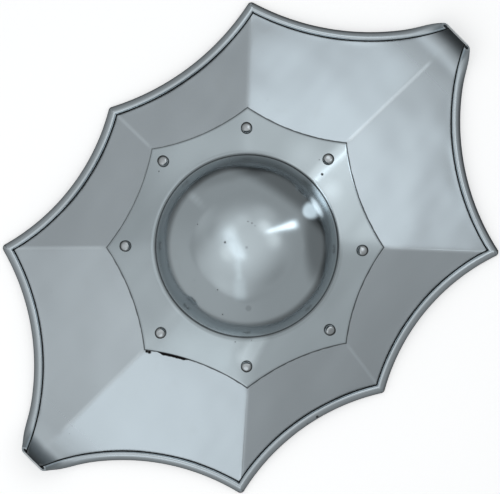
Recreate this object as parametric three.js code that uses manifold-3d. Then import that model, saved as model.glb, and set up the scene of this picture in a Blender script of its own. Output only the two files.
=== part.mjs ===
// A steel buckler: a shallow eight-sided plate with a rolled edge and two turned-up ends, a hollow boss on
// an eight-pointed star flange, eight rivets, and a strap grip behind. It lies on its back with the boss up.
// Millimetres and degrees. The boss's axis is x = y = 0 until the last step, and y runs along the long axis.
import * as THREE from 'three';
import { mergeVertices } from 'three/addons/utils/BufferGeometryUtils.js';
import Module from 'manifold-3d';

// The plate
const sheet = 1.6; // thickness of the plate and of the boss
const apexHeight = 45; // where the facets would meet on the boss's axis, above the plane of the six tips
const ridgeFoot = 255; // how far out each long ridge would reach the plane of the tips
const holeRadius = 72; // the round hole under the boss

// The rolled edge: the sheet turned forward over itself into a hollow bead
const beadRadius = 3.75;
const beadWrap = 285;
const beadTilt = 13; // the facets' mean slope at the edge

// The turned-up long ends, measured along the plate before it is bent
const bendStart = 222;
const bendRadius = 16;
const endTilt = 55; // slope of the finished end above level

// The boss and its flange
const bossRadius = 75;
const bossRise = 67; // from the flat of its wall's foot to its top
const footFillet = 3;
const starDepth = 5.4; // how far each edge of the star is hollowed

// The rivets
const shankRadius = 2.4;
const headRadius = 4.75;
const headHeight = 3.4;
const tailRadius = 4;
const tailHeight = 1.8;
const seatAllowance = 0.35; // room under a head or tail for the fold of the sheet

// The grip: a strap whose middle is rolled to an open tube
const strapThickness = 2.5;
const padWidth = 26;
const padBeyondRivet = 13;
const gripFlat = 8; // the flat of its back
const gripCurlRadius = 7.5;
const gripCurl = 150; // how far each wing is rolled round
const gripLength = 88;
const gripDepth = 8; // height of its back above the plane of the tips
const gripFlare = 18; // length over which the tube opens out to the strap
const padStart = 76; // where the strap leaves the plate on its way to the grip

// Clearances
const gap = 0.3; // between pieces that touch
const boltGap = 0.3; // between a rivet's shank and its holes

// How far the corners, the star's points and the rivets stand from the boss's axis, and how far the sides
// are hollowed. The shield is made by hand, so each corner below takes its own share of these.
const shortReach = 163; // the two tips on the short axis
const wideReach = 203; // the four tips beside the long ends
const endReach = 252; // the two cut ends, measured along the plate before it is bent
const endWidth = 20; // between the bead's centre lines at a cut end
const starReach = 115;
const rivetReach = 97;
const shortSideDepth = 14.4; // sides between a short tip and a wide one
const longSideDepth = 19.6; // sides beside a long end

// The eight corners, anticlockwise from the +X one. A tip, a star's point and a rivet have a bearing and a
// reach; a tip is the outermost point of the rolled edge. An end has a direction along y, a reach and a width.
const corners = [
  {
    tip: [-1.9, 1.012 * shortReach],
    star: [0.6, 0.991 * starReach],
    rivet: [-0.3, 0.994 * rivetReach],
    sideDepth: 1.104 * shortSideDepth,
  },
  {
    tip: [43.6, 1.022 * wideReach],
    star: [44.4, 0.975 * starReach],
    rivet: [42.8, 0.974 * rivetReach],
    sideDepth: 1.036 * longSideDepth,
  },
  {
    end: [1, 0.986 * endReach, 1.1 * endWidth],
    star: [91, 1.02 * starReach],
    rivet: [91.8, 1.002 * rivetReach],
    sideDepth: 0.878 * longSideDepth,
  },
  {
    tip: [133.9, 0.99 * wideReach],
    star: [134.7, 0.988 * starReach],
    rivet: [135.1, 0.994 * rivetReach],
    sideDepth: 0.875 * shortSideDepth,
  },
  {
    tip: [179.8, 0.984 * shortReach],
    star: [179.3, 0.969 * starReach],
    rivet: [179.6, 1.003 * rivetReach],
    sideDepth: 1.014 * shortSideDepth,
  },
  {
    tip: [225.5, 0.991 * wideReach],
    star: [225.6, 1 * starReach],
    rivet: [225, 1.022 * rivetReach],
    sideDepth: 1.051 * longSideDepth,
  },
  {
    end: [-1, 1.016 * endReach, 0.89 * endWidth],
    star: [270.4, 1.036 * starReach],
    rivet: [270.2, 1.03 * rivetReach],
    sideDepth: 1.046 * longSideDepth,
  },
  {
    tip: [313.5, 1.003 * wideReach],
    star: [315.2, 1.011 * starReach],
    rivet: [314.9, 1.014 * rivetReach],
    sideDepth: 0.993 * shortSideDepth,
  },
];

// How finely the round shapes are cut
const sideSteps = 8;
const bendSteps = 4;
const tipSteps = 3;
const beadInnerSteps = 6;
const beadOuterSteps = 8;
const starSteps = 4;
const domeSteps = 9;
const filletSteps = 3;
const wingSteps = 5;
const rivetSides = 10;

const radians = THREE.MathUtils.degToRad;
const mix = (a, b, t) => a + (b - a) * t;
const smooth = (t) => THREE.MathUtils.smoothstep(t, 0, 1);
const polar = (bearing, reach) => new THREE.Vector2(
  reach * Math.cos(radians(bearing)),
  reach * Math.sin(radians(bearing)),
);
const cross = (a, b) => a.x * b.y - a.y * b.x;
const count = corners.length;
const next = (i) => (i + 1) % count;
const steps = (n) => Array.from({ length: n + 1 }, (unused, k) => k / n);

// A number between low and high where a rising function crosses zero.
function crossing(rising, low, high) {
  for (let k = 0; k < 50; k += 1) {
    const middle = (low + high) / 2;
    if (rising(middle) > 0) high = middle;
    else low = middle;
  }
  return (low + high) / 2;
}

// A closed mesh from rows of points. Corners at the same place share one vertex, and empty faces are left out.
class Shell {
  constructor() {
    this.points = [];
    this.faces = [];
    this.known = new Map();
  }

  vertex(p) {
    const key = [p.x, p.y, p.z].map((v) => Math.round(v * 500)).join(' ');
    if (!this.known.has(key)) {
      this.known.set(key, this.points.length / 3);
      this.points.push(p.x, p.y, p.z);
    }
    return this.known.get(key);
  }

  triangle(a, b, c) {
    const [i, j, k] = [this.vertex(a), this.vertex(b), this.vertex(c)];
    if (i !== j && j !== k && k !== i) this.faces.push(i, j, k);
  }

  quad(a, b, c, d) {
    this.triangle(a, b, c);
    this.triangle(a, c, d);
  }

  // Faces between neighbouring columns of points, which run from the first row to the last.
  strip(left, right) {
    for (let k = 0; k + 1 < left.length; k += 1) {
      this.quad(left[k], left[k + 1], right[k + 1], right[k]);
    }
  }

  geometry() {
    const made = new THREE.BufferGeometry();
    made.setAttribute('position', new THREE.Float32BufferAttribute(this.points, 3));
    made.setIndex(this.faces);
    return made;
  }
}

// The rolled edge's centre line: an arc for each side, about a centre outside the shield
const cornerOut = (corner) => polar(corner.tip[0], corner.tip[1] - beadRadius);
const cornerStart = (corner) => (corner.tip
  ? cornerOut(corner)
  : new THREE.Vector2(-corner.end[0] * corner.end[2] / 2, corner.end[0] * corner.end[1]));
const cornerStop = (corner) => (corner.tip
  ? cornerOut(corner)
  : new THREE.Vector2(corner.end[0] * corner.end[2] / 2, corner.end[0] * corner.end[1]));

const sides = corners.map((corner, i) => {
  const from = cornerStart(corner);
  const to = cornerStop(corners[next(i)]);
  const chord = to.clone().sub(from);
  const half = chord.length() / 2;
  const radius = (half * half + corner.sideDepth * corner.sideDepth) / (2 * corner.sideDepth);
  const outward = new THREE.Vector2(chord.y, -chord.x).normalize();
  const centre = from.clone().add(to).multiplyScalar(0.5).addScaledVector(outward, radius - corner.sideDepth);
  return { from, to, radius, centre };
});
const angleAbout = (centre, p) => Math.atan2(p.y - centre.y, p.x - centre.x);
const onArc = (side, inward, angle) => new THREE.Vector2(
  side.centre.x + (side.radius + inward) * Math.cos(angle),
  side.centre.y + (side.radius + inward) * Math.sin(angle),
);

// Where two neighbouring arcs meet when both are moved the same distance into the shield.
function mitre(before, after, inward, near) {
  const [r1, r2] = [before.radius + inward, after.radius + inward];
  const between = after.centre.clone().sub(before.centre);
  const distance = between.length();
  const along = (distance * distance + r1 * r1 - r2 * r2) / (2 * distance);
  const across = Math.sqrt(Math.max(0, r1 * r1 - along * along));
  const foot = before.centre.clone().addScaledVector(between, along / distance);
  const normal = new THREE.Vector2(-between.y, between.x).divideScalar(distance);
  const options = [1, -1].map((sign) => foot.clone().addScaledVector(normal, sign * across));
  return options.sort((a, b) => a.distanceTo(near) - b.distanceTo(near))[0];
}

// The facets: ridges from the apex over each star tip to each corner, and level chords between them
const ridges = corners.map((corner) => {
  const star = polar(...corner.star);
  const foot = corner.tip ? cornerOut(corner) : new THREE.Vector2(0, corner.end[0] * ridgeFoot);
  return { star, foot, bend: star.length() / foot.length() };
});
function onRidge({ star, foot, bend }, fall) {
  if (fall < bend) return star.clone().multiplyScalar(fall / bend);
  return star.clone().lerp(foot, (fall - bend) / (1 - bend));
}
const onFacet = (i, fall, t) => onRidge(ridges[i], fall).lerp(onRidge(ridges[next(i)], fall), t);

// The facet, the fall from the apex and the place across it of a point seen from above.
function place({ x, y }) {
  const p = new THREE.Vector2(x, y);
  let best = null;
  for (let i = 0; i < count; i += 1) {
    const outside = (fall) => {
      const [a, b] = [onRidge(ridges[i], fall), onRidge(ridges[next(i)], fall)];
      return cross(b.clone().sub(a), p.clone().sub(a));
    };
    const ahead = p.dot(onFacet(i, 1, 0.5)) > 0;
    if (ahead) {
      const fall = crossing(outside, 0.001, 1.4);
      const [a, b] = [onRidge(ridges[i], fall), onRidge(ridges[next(i)], fall)];
      const chord = b.clone().sub(a);
      const t = p.clone().sub(a).dot(chord) / chord.lengthSq();
      const miss = Math.max(0, -t, t - 1);
      if (best === null || miss < best.miss) best = { i, fall, t, miss };
    }
  }
  return best;
}
const frontHeight = (p) => apexHeight * (1 - place(p).fall);
const upright = sheet / Math.cos(radians(beadTilt)); // the sheet's thickness measured straight up

// The turned-up ends: what lies past the bend's start is rolled up about an axis across the plate.
const ridgeSlope = Math.atan(apexHeight / ridgeFoot);
const turn = radians(endTilt) + ridgeSlope;
function turnedUp(p) {
  const way = Math.sign(p.y);
  const start = new THREE.Vector2(bendStart, apexHeight * (1 - bendStart / ridgeFoot));
  const run = new THREE.Vector2(Math.cos(ridgeSlope), -Math.sin(ridgeSlope));
  const up = new THREE.Vector2(Math.sin(ridgeSlope), Math.cos(ridgeSlope));
  const from = new THREE.Vector2(Math.abs(p.y), p.z).sub(start);
  const [travel, height] = [from.dot(run), from.dot(up)];
  if (travel <= 0) return p;
  const angle = Math.min(travel / bendRadius, turn);
  const rest = travel - angle * bendRadius;
  const along = (bendRadius - height) * Math.sin(angle) + rest * Math.cos(angle);
  const above = bendRadius - (bendRadius - height) * Math.cos(angle) + rest * Math.sin(angle);
  const q = start.clone().addScaledVector(run, along).addScaledVector(up, above);
  return new THREE.Vector3(p.x, way * q.x, q.y);
}

// Distances from the middle at which the bend needs a row of points
const bendLevels = steps(bendSteps).map((k) => bendStart + k * turn * bendRadius * Math.cos(ridgeSlope));

// The bead's section: points about its centre, first inside it and back from the raw edge outside it
const beadArc = (radius, n) => steps(n).map((k) => {
  const angle = radians(-90 - beadTilt + k * beadWrap);
  return { inward: -radius * Math.cos(angle), above: radius * Math.sin(angle) };
});
const beadInside = beadArc(beadRadius - sheet, beadInnerSteps);
const beadOutside = beadArc(beadRadius, beadOuterSteps);
const beadCentreHeight = (beadRadius - sheet) / Math.cos(radians(beadTilt));

// The points of the bead's section all along one side. Each column holds the inside and outside points.
function beadColumns(i) {
  const side = sides[i];
  const [before, after] = [corners[i], corners[next(i)]];
  const previous = sides[(i + count - 1) % count];
  const following = sides[next(i)];
  const angleAt = (corner, other, isStart, inward) => {
    const target = isStart ? side.from : side.to;
    if (corner.tip) {
      if (inward <= 0) return angleAbout(side.centre, target);
      const pair = isStart ? [other, side] : [side, other];
      return angleAbout(side.centre, mitre(...pair, inward, target));
    }
    return levelAngle(corner.end[0] * corner.end[1], inward, target);
  };
  const levelAngle = (y, inward, near) => {
    const across = (y - side.centre.y) / (side.radius + inward);
    const angle = Math.asin(THREE.MathUtils.clamp(across, -1, 1));
    const mirrored = Math.PI - angle;
    return near.x < side.centre.x ? mirrored : angle;
  };
  const anglesFor = (inward) => {
    const first = angleAt(before, previous, true, inward);
    const last = angleAt(after, following, false, inward);
    const level = (corner, target, y) => levelAngle(corner.end[0] * y, inward, target);
    const unwrap = (a) => a - 2 * Math.PI * Math.round((a - first) / (2 * Math.PI));
    if (after.end) {
      const bend = bendLevels.filter((y) => y < after.end[1]).map((y) => unwrap(level(after, side.to, y)));
      const flat = steps(sideSteps - 1).map((k) => mix(first, bend[0], k));
      return [...flat, ...bend.slice(1), unwrap(last)];
    }
    if (before.end) {
      const bend = bendLevels.filter((y) => y < before.end[1]).map((y) => unwrap(level(before, side.from, y)));
      const flat = steps(sideSteps - 1).map((k) => mix(bend[0], unwrap(last), k));
      return [first, ...bend.slice(1).reverse(), ...flat];
    }
    return steps(sideSteps).map((k) => mix(first, unwrap(last), k));
  };
  const centres = anglesFor(0).map((angle) => onArc(side, 0, angle));
  const heights = centres.map((p) => frontHeight(p) + beadCentreHeight);
  const line = ({ inward, above }) => anglesFor(inward).map((angle, k) => {
    const p = onArc(side, inward, angle);
    return new THREE.Vector3(p.x, p.y, heights[k] + above);
  });
  const inside = beadInside.map(line);
  const outside = beadOutside.map(line);
  return centres.map((p, k) => ({
    inside: inside.map((points) => points[k]),
    outside: outside.map((points) => points[k]),
  }));
}

// Columns that turn the outer half of the bead round a tip.
function tipColumns(last, first, centre) {
  return steps(tipSteps).slice(1, -1).map((k) => ({
    inside: turnRound(last.inside, first.inside, beadInside, centre, k),
    outside: turnRound(last.outside, first.outside, beadOutside, centre, k),
  }));
}
function turnRound(from, to, section, centre, k) {
  return from.map((p, n) => {
    if (section[n].inward >= 0) return p;
    const start = angleAbout(centre, p);
    let sweep = angleAbout(centre, to[n]) - start;
    sweep -= 2 * Math.PI * Math.round(sweep / (2 * Math.PI));
    const reach = -section[n].inward;
    const angle = start + sweep * k;
    return new THREE.Vector3(centre.x + reach * Math.cos(angle), centre.y + reach * Math.sin(angle), p.z);
  });
}

// A column of sheet from the hole to the point where the bead or the cut begins.
function sheetColumn(front, back) {
  const root = new THREE.Vector2(front.x, front.y);
  const { i, fall, t } = place(root);
  const along = (s) => onFacet(i, s, t);
  const hole = crossing((s) => along(s).length() - holeRadius, 0.001, 1);
  const fold = mix(ridges[i].bend, ridges[next(i)].bend, t);
  const falls = [hole, fold];
  bendLevels.forEach((y) => falls.push(Math.min(fall, crossing((s) => Math.abs(along(s).y) - y, 0.001, 2))));
  const rows = falls.map((s) => {
    const p = s === fall ? root : along(s);
    return new THREE.Vector3(p.x, p.y, frontHeight(p));
  });
  const under = rows.map((p) => (p.x === root.x && p.y === root.y
    ? new THREE.Vector3(back.x, back.y, frontHeight(back) - upright)
    : new THREE.Vector3(p.x, p.y, p.z - upright)));
  return {
    front: [...rows, new THREE.Vector3(root.x, root.y, frontHeight(root))],
    back: [...under, new THREE.Vector3(back.x, back.y, frontHeight(back) - upright)],
  };
}

function plateGeometry() {
  const shell = new Shell();
  const beads = corners.map((corner, i) => beadColumns(i));
  const bent = (points) => points.map(turnedUp);
  const sheetColumns = [];
  corners.forEach((corner, i) => {
    const previous = beads[(i + count - 1) % count];
    const before = previous[previous.length - 1];
    if (corner.end) {
      const cut = new THREE.Vector2(0, corner.end[0] * corner.end[1]);
      sheetColumns.push({ ...sheetColumn(cut, cut), cut: true });
    } else {
      beads[i].unshift(...[before, ...tipColumns(before, beads[i][0], sides[i].from)]);
    }
    // The roots of the sheet take their height from the facets.
    beads[i].forEach((column) => {
      const made = sheetColumn(column.inside[0], column.outside[0]);
      column.inside[0] = made.front[made.front.length - 1];
      column.outside[0] = made.back[made.back.length - 1];
      sheetColumns.push(made);
    });
  });

  // The sheet's two faces, the edge of the hole, and the raw edge along each cut
  sheetColumns.forEach((left, k) => {
    const right = sheetColumns[(k + 1) % sheetColumns.length];
    shell.strip(bent(left.front), bent(right.front));
    shell.strip(bent(right.back), bent(left.back));
    shell.quad(...bent([left.back[0], left.front[0], right.front[0], right.back[0]]));
    if (left.cut || right.cut) {
      const [lf, lb, rf, rb] = [left.front, left.back, right.front, right.back].map((row) => row[row.length - 1]);
      shell.quad(...bent([lf, lb, rb, rf]));
    }
  });

  // The bead, and its open ends at the cuts
  beads.forEach((columns, i) => {
    const wall = (column) => bent([...column.inside, ...column.outside.toReversed()]);
    for (let k = 0; k + 1 < columns.length; k += 1) {
      shell.strip(wall(columns[k]), wall(columns[k + 1]));
    }
    if (corners[i].end) shell.cap(columns[0], true, bent);
    if (corners[next(i)].end) shell.cap(columns[columns.length - 1], false, bent);
  });
  return shell.geometry();
}

// The ring of bare metal where the bead is cut open: inside points against outside points.
Shell.prototype.cap = function cap(column, isStart, bent) {
  const [inside, outside] = [bent(column.inside), bent(column.outside)];
  let [a, b] = [0, 0];
  while (a + 1 < inside.length || b + 1 < outside.length) {
    const onOutside = a + 1 === inside.length
      || (b + 1 < outside.length && (b + 1) / (outside.length - 1) <= (a + 1) / (inside.length - 1));
    const third = onOutside ? outside[b + 1] : inside[a + 1];
    if (isStart) this.triangle(inside[a], outside[b], third);
    else this.triangle(outside[b], inside[a], third);
    if (onOutside) b += 1;
    else a += 1;
  }
};

// The boss: a hollow dome that turns out over a small fillet into the folded star flange
function starPoint(i, t) {
  const [from, to] = [ridges[i].star, ridges[next(i)].star];
  const chord = to.clone().sub(from);
  const half = chord.length() / 2;
  const radius = (half * half + starDepth * starDepth) / (2 * starDepth);
  const outward = new THREE.Vector2(chord.y, -chord.x).normalize();
  const centre = from.clone().add(to).multiplyScalar(0.5).addScaledVector(outward, radius - starDepth);
  const start = angleAbout(centre, from);
  let sweep = angleAbout(centre, to) - start;
  sweep -= 2 * Math.PI * Math.round(sweep / (2 * Math.PI));
  return new THREE.Vector2(
    centre.x + radius * Math.cos(start + sweep * t),
    centre.y + radius * Math.sin(start + sweep * t),
  );
}
const filletReach = bossRadius + footFillet;
const flangeUnder = (p) => frontHeight(p) + gap;
const domeFoot = Math.max(...ridges.map(({ star }) => (
  flangeUnder(star.clone().setLength(filletReach)) + upright + footFillet)));

function bossGeometry() {
  const shell = new Shell();
  const columns = [];
  corners.forEach((corner, i) => steps(starSteps).slice(0, -1).forEach((t) => {
    const edge = starPoint(i, t);
    const at = (reach, height) => {
      const p = edge.clone().setLength(reach);
      return new THREE.Vector3(p.x, p.y, height);
    };
    const under = flangeUnder(edge.clone().setLength(filletReach));
    const dome = (radius, rise) => steps(domeSteps).map((k) => {
      const angle = k * Math.PI / 2;
      return at(radius * Math.cos(angle) + 1e-9, domeFoot + rise * Math.sin(angle));
    });
    const fillet = (radius, base) => steps(filletSteps).map((k) => {
      const angle = k * Math.PI / 2;
      return at(filletReach - radius * Math.sin(angle), base + radius * (1 - Math.cos(angle)));
    });
    const outside = [...dome(bossRadius, bossRise).reverse(), ...fillet(footFillet, under + upright).reverse()];
    const inside = [...fillet(footFillet + sheet, under), ...dome(bossRadius - sheet, bossRise - sheet)];
    const rim = flangeUnder(edge);
    columns.push([...outside, at(edge.length(), rim + upright), at(edge.length(), rim), ...inside]);
  }));
  columns.forEach((column, k) => shell.strip(column, columns[(k + 1) % columns.length]));
  return shell.geometry();
}

// A rivet's place and lean: square to the ridge that it sits on. Its own z = 0 is the plate's front.
function rivetMatrix(i) {
  const p = polar(...corners[i].rivet);
  const slope = Math.atan(apexHeight / ridges[i].foot.length());
  const axis = new THREE.Vector3(0, 0, Math.cos(slope));
  axis.x = Math.sin(slope) * p.x / p.length();
  axis.y = Math.sin(slope) * p.y / p.length();
  const lean = new THREE.Quaternion().setFromUnitVectors(new THREE.Vector3(0, 0, 1), axis);
  const point = new THREE.Vector3(p.x, p.y, frontHeight(p));
  return new THREE.Matrix4().compose(point, lean, new THREE.Vector3(1, 1, 1));
}
const headSeat = gap + sheet + gap + seatAllowance;
const tailSeat = (corner) => sheet + gap + 2 * seatAllowance + (corner.end ? strapThickness + gap : 0);

function rivetGeometry(corner) {
  const seat = tailSeat(corner);
  const section = [
    [0, -seat - tailHeight],
    [0.55 * tailRadius, -seat - 0.9 * tailHeight],
    [tailRadius, -seat - 0.4 * tailHeight],
    [tailRadius, -seat],
    [shankRadius, -seat],
    [shankRadius, headSeat],
    [headRadius, headSeat],
    [headRadius, headSeat + 0.25 * headHeight],
    [0.9 * headRadius, headSeat + 0.62 * headHeight],
    [0.66 * headRadius, headSeat + 0.9 * headHeight],
    [0.35 * headRadius, headSeat + headHeight],
    [0, headSeat + headHeight],
  ].map(([x, y]) => new THREE.Vector2(x, y));
  const made = new THREE.LatheGeometry(section, rivetSides).rotateX(Math.PI / 2);
  return weld(made);
}

// The grip: a strip across the long axis, flat and folded at its pads and rolled to an open tube between
function gripGeometry() {
  const shell = new Shell();
  const [top, bottom] = [corners.find((c) => c.end && c.end[0] > 0), corners.find((c) => c.end && c.end[0] < 0)];
  const reach = { up: top.rivet[1] + padBeyondRivet, down: bottom.rivet[1] + padBeyondRivet };
  const half = gripLength / 2;
  const marks = [half, half + gripFlare / 4, half + gripFlare / 2, half + 0.75 * gripFlare, half + gripFlare];
  const past = [...marks, mix(half + gripFlare, padStart, 0.5), padStart];
  const stations = [-reach.down, ...past.toReversed().map((y) => -y), ...past, reach.up];
  const outward = steps(wingSteps);
  const across = [...outward.toReversed().map((k) => [-1, k]), ...outward.map((k) => [1, k])];
  const columns = stations.map((y) => {
    const rolled = smooth((half + gripFlare - Math.abs(y)) / gripFlare);
    const sunk = smooth((padStart - Math.abs(y)) / (padStart - half));
    const wing = mix((padWidth - gripFlat) / 2, gripCurlRadius * radians(gripCurl), rolled);
    const bend = rolled / gripCurlRadius;
    const middle = across.map(([way, k]) => {
      const curled = k * wing;
      const angle = curled * bend;
      const out = gripFlat / 2 + (rolled > 0 ? Math.sin(angle) / bend : curled);
      const rise = rolled > 0 ? (1 - Math.cos(angle)) / bend : 0;
      const p = new THREE.Vector2(way * out, y);
      const pad = frontHeight(p) - upright - gap - strapThickness / Math.cos(ridgeSlope) / 2;
      const back = gripDepth + strapThickness / 2 + rise;
      return { x: p.x, z: mix(pad, back, sunk), nx: -way * Math.sin(angle), nz: Math.cos(angle) };
    });
    const face = (depth) => middle.map(({ x, z, nx, nz }) => new THREE.Vector3(x + depth * nx, y, z + depth * nz));
    return [...face(strapThickness / 2), ...face(-strapThickness / 2).reverse()];
  });
  columns.forEach((column, k) => {
    if (k + 1 < columns.length) {
      shell.strip([...column, column[0]], [...columns[k + 1], columns[k + 1][0]]);
    }
  });
  const n = across.length;
  const end = (column, flip) => {
    for (let k = 0; k + 1 < n; k += 1) {
      const quad = [column[k], column[k + 1], column[2 * n - 2 - k], column[2 * n - 1 - k]];
      shell.quad(...(flip ? quad : quad.reverse()));
    }
  };
  end(columns[0], false);
  end(columns[columns.length - 1], true);
  return shell.geometry();
}

// Round holes for the rivets are cut with manifold-3d, which joins and cuts closed meshes.
const wasm = await Module();
wasm.setup();
function weld(geometry) {
  const bare = geometry.index ? geometry.clone() : geometry;
  bare.deleteAttribute('normal');
  bare.deleteAttribute('uv');
  return mergeVertices(bare, 1e-4);
}
function solid(geometry) {
  const welded = weld(geometry);
  return new wasm.Manifold(new wasm.Mesh({
    numProp: 3,
    vertProperties: new Float32Array(welded.attributes.position.array),
    triVerts: new Uint32Array(welded.index.array),
  }));
}
function drilled(geometry, holes) {
  let body = solid(geometry);
  holes.forEach((i) => {
    const tool = new THREE.CylinderGeometry(shankRadius + boltGap, shankRadius + boltGap, 24, rivetSides);
    tool.rotateX(Math.PI / 2).applyMatrix4(rivetMatrix(i));
    body = body.subtract(solid(tool));
  });
  const { vertProperties, triVerts } = body.getMesh();
  const made = new THREE.BufferGeometry();
  made.setAttribute('position', new THREE.BufferAttribute(new Float32Array(vertProperties), 3));
  made.setIndex(new THREE.BufferAttribute(new Uint32Array(triVerts), 1));
  return made;
}

// The finished pieces, each with its own steel
const steel = (color, roughness) => new THREE.MeshStandardMaterial({ color, roughness, metalness: 1 });
const shield = new THREE.Group();
function add(name, geometry, material) {
  const mesh = new THREE.Mesh(geometry, material);
  geometry.computeVertexNormals();
  mesh.name = name;
  shield.add(mesh);
  return mesh;
}
const every = corners.map((corner, i) => i);
add('main_plate', drilled(plateGeometry(), every), steel(0xb4bac1, 0.3));
add('boss', drilled(bossGeometry(), every), steel(0xb8bec4, 0.28));
every.forEach((i) => {
  const rivet = add(`rivet_${i + 1}`, rivetGeometry(corners[i]), steel(0xa6abb1, 0.35));
  rivet.applyMatrix4(rivetMatrix(i));
});
add('grip', drilled(gripGeometry(), every.filter((i) => corners[i].end)), steel(0x9aa0a6, 0.4));

// The origin is under the middle of the whole shield, on the surface that it lies on.
const model = new THREE.Group();
model.add(shield);
const box = new THREE.Box3().setFromObject(shield);
shield.position.set(-(box.min.x + box.max.x) / 2, -(box.min.y + box.max.y) / 2, -box.min.z);

export default model;
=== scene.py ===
import math
from functools import reduce

import bpy
import numpy as np
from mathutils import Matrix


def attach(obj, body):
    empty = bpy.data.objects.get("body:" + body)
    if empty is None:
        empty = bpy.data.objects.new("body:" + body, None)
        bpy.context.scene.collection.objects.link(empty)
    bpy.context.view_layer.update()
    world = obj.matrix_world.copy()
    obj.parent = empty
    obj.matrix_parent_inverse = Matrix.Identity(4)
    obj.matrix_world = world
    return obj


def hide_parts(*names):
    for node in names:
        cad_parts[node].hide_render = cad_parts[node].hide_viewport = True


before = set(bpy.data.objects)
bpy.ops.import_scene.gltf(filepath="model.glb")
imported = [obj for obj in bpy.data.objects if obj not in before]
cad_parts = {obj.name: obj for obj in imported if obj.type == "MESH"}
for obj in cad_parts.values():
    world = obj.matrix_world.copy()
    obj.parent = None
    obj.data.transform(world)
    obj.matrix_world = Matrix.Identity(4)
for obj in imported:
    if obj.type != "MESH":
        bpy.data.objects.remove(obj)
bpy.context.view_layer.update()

# One millimetre in the frame's unit
MM = 0.001

# The plate
SHEET = 1.6
APEX_HEIGHT = 45.0
RIDGE_FOOT = 255.0
HOLE_RADIUS = 72.0

# The rolled edge
BEAD_RADIUS = 3.75
BEAD_WRAP = 306.0
BEAD_TILT = 13.0

# The turned-up long ends
BEND_START = 222.0
BEND_RADIUS = 16.0
END_TILT = 55.0

# The boss and its flange
BOSS_RADIUS = 75.0
BOSS_RISE = 67.0
FOOT_FILLET = 3.0
BOSS_TRIM = 0.9
STAR_DEPTH = 5.4

# The rivets
SHANK_RADIUS = 2.4
HEAD_RADIUS = 4.75
HEAD_HEIGHT = 3.4
TAIL_RADIUS = 4.0
TAIL_HEIGHT = 1.8
SEAT_ALLOWANCE = 0.35

# The grip
STRAP_THICKNESS = 2.5
PAD_WIDTH = 26.0
PAD_BEYOND_RIVET = 13.0
GRIP_FLAT = 8.0
GRIP_CURL_RADIUS = 7.5
GRIP_CURL = 150.0
GRIP_LENGTH = 88.0
GRIP_DEPTH = 8.0
GRIP_FLARE = 18.0
PAD_START = 76.0

GAP = 0.3

# The hand-made corners, as in the frame
SHORT_REACH = 163.0
WIDE_REACH = 203.0
END_REACH = 252.0
END_WIDTH = 20.0
STAR_REACH = 115.0
RIVET_REACH = 97.0
SHORT_SIDE_DEPTH = 14.4
LONG_SIDE_DEPTH = 19.6
CORNERS = [
    dict(tip=(-1.9, 1.012 * SHORT_REACH), star=(0.6, 0.991 * STAR_REACH),
         rivet=(-0.3, 0.994 * RIVET_REACH), side_depth=1.104 * SHORT_SIDE_DEPTH),
    dict(tip=(43.6, 1.022 * WIDE_REACH), star=(44.4, 0.975 * STAR_REACH),
         rivet=(42.8, 0.974 * RIVET_REACH), side_depth=1.036 * LONG_SIDE_DEPTH),
    dict(end=(1, 0.986 * END_REACH, 1.1 * END_WIDTH), star=(91.0, 1.02 * STAR_REACH),
         rivet=(91.8, 1.002 * RIVET_REACH), side_depth=0.878 * LONG_SIDE_DEPTH),
    dict(tip=(133.9, 0.99 * WIDE_REACH), star=(134.7, 0.988 * STAR_REACH),
         rivet=(135.1, 0.994 * RIVET_REACH), side_depth=0.875 * SHORT_SIDE_DEPTH),
    dict(tip=(179.8, 0.984 * SHORT_REACH), star=(179.3, 0.969 * STAR_REACH),
         rivet=(179.6, 1.003 * RIVET_REACH), side_depth=1.014 * SHORT_SIDE_DEPTH),
    dict(tip=(225.5, 0.991 * WIDE_REACH), star=(225.6, 1.0 * STAR_REACH),
         rivet=(225.0, 1.022 * RIVET_REACH), side_depth=1.051 * LONG_SIDE_DEPTH),
    dict(end=(-1, 1.016 * END_REACH, 0.89 * END_WIDTH), star=(270.4, 1.036 * STAR_REACH),
         rivet=(270.2, 1.03 * RIVET_REACH), side_depth=1.046 * LONG_SIDE_DEPTH),
    dict(tip=(313.5, 1.003 * WIDE_REACH), star=(315.2, 1.011 * STAR_REACH),
         rivet=(314.9, 1.014 * RIVET_REACH), side_depth=0.993 * SHORT_SIDE_DEPTH),
]
COUNT = len(CORNERS)

# Where the boss's axis and the plane of the tips stand in the frame, in metres
AXIS = np.array([-0.0022352, 0.0020604, 0.0013958])

# How the hammered and polished surface differs from the plain one, in millimetres or as a share
SETTLING = 0.12  # how far the sheet lies under the plain one away from its rim
RIDGE_ROUNDING = 2.6
RIM_FADE = 9.0  # how far inside the rim the differences are full
BEAD_TRIM = 0.24
PRESSED_LENGTH = 26.0  # the bead is pressed flatter over this much of its ends
PRESSED = 0.62
TAB_FLATTENING = 20.0
BEND_EASE = 0.3  # how much longer the bend is before and after, as a share of its length
CUT_TRIM = 2.0
BEAD_LEAN = 0.4  # how much the bead's top leans inward for each millimetre of its height
INNER_LEAN_SHARE = 0.87
INNER_DRAW = 0.05
BEAD_LIFT = 0.1
FLANGE_ROUNDING = 8.0
FLANGE_LIFT = 0.25
FOOT_SWELL = 0.2  # how far the flange rises beside the dome's foot
SWELL_LENGTH = 6.0
WAVES = [(62.0, 0.05), (41.0, 0.03), (27.0, 0.014), (17.0, 0.006)]  # wavelength and height
WAVES_OF_EACH = 5
WAVE_SEED = 11

WELDS_PER_MM = 500
HALVINGS = 44


def polar(bearing, reach):
    angle = math.radians(bearing)
    return np.array([reach * math.cos(angle), reach * math.sin(angle)])


def mix(a, b, t):
    return a + (b - a) * t


def smooth(t):
    t = np.clip(t, 0.0, 1.0)
    return t * t * (3 - 2 * t)


def aside(v):
    """A direction turned a quarter round to the left."""
    return np.array([-v[1], v[0]])


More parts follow.
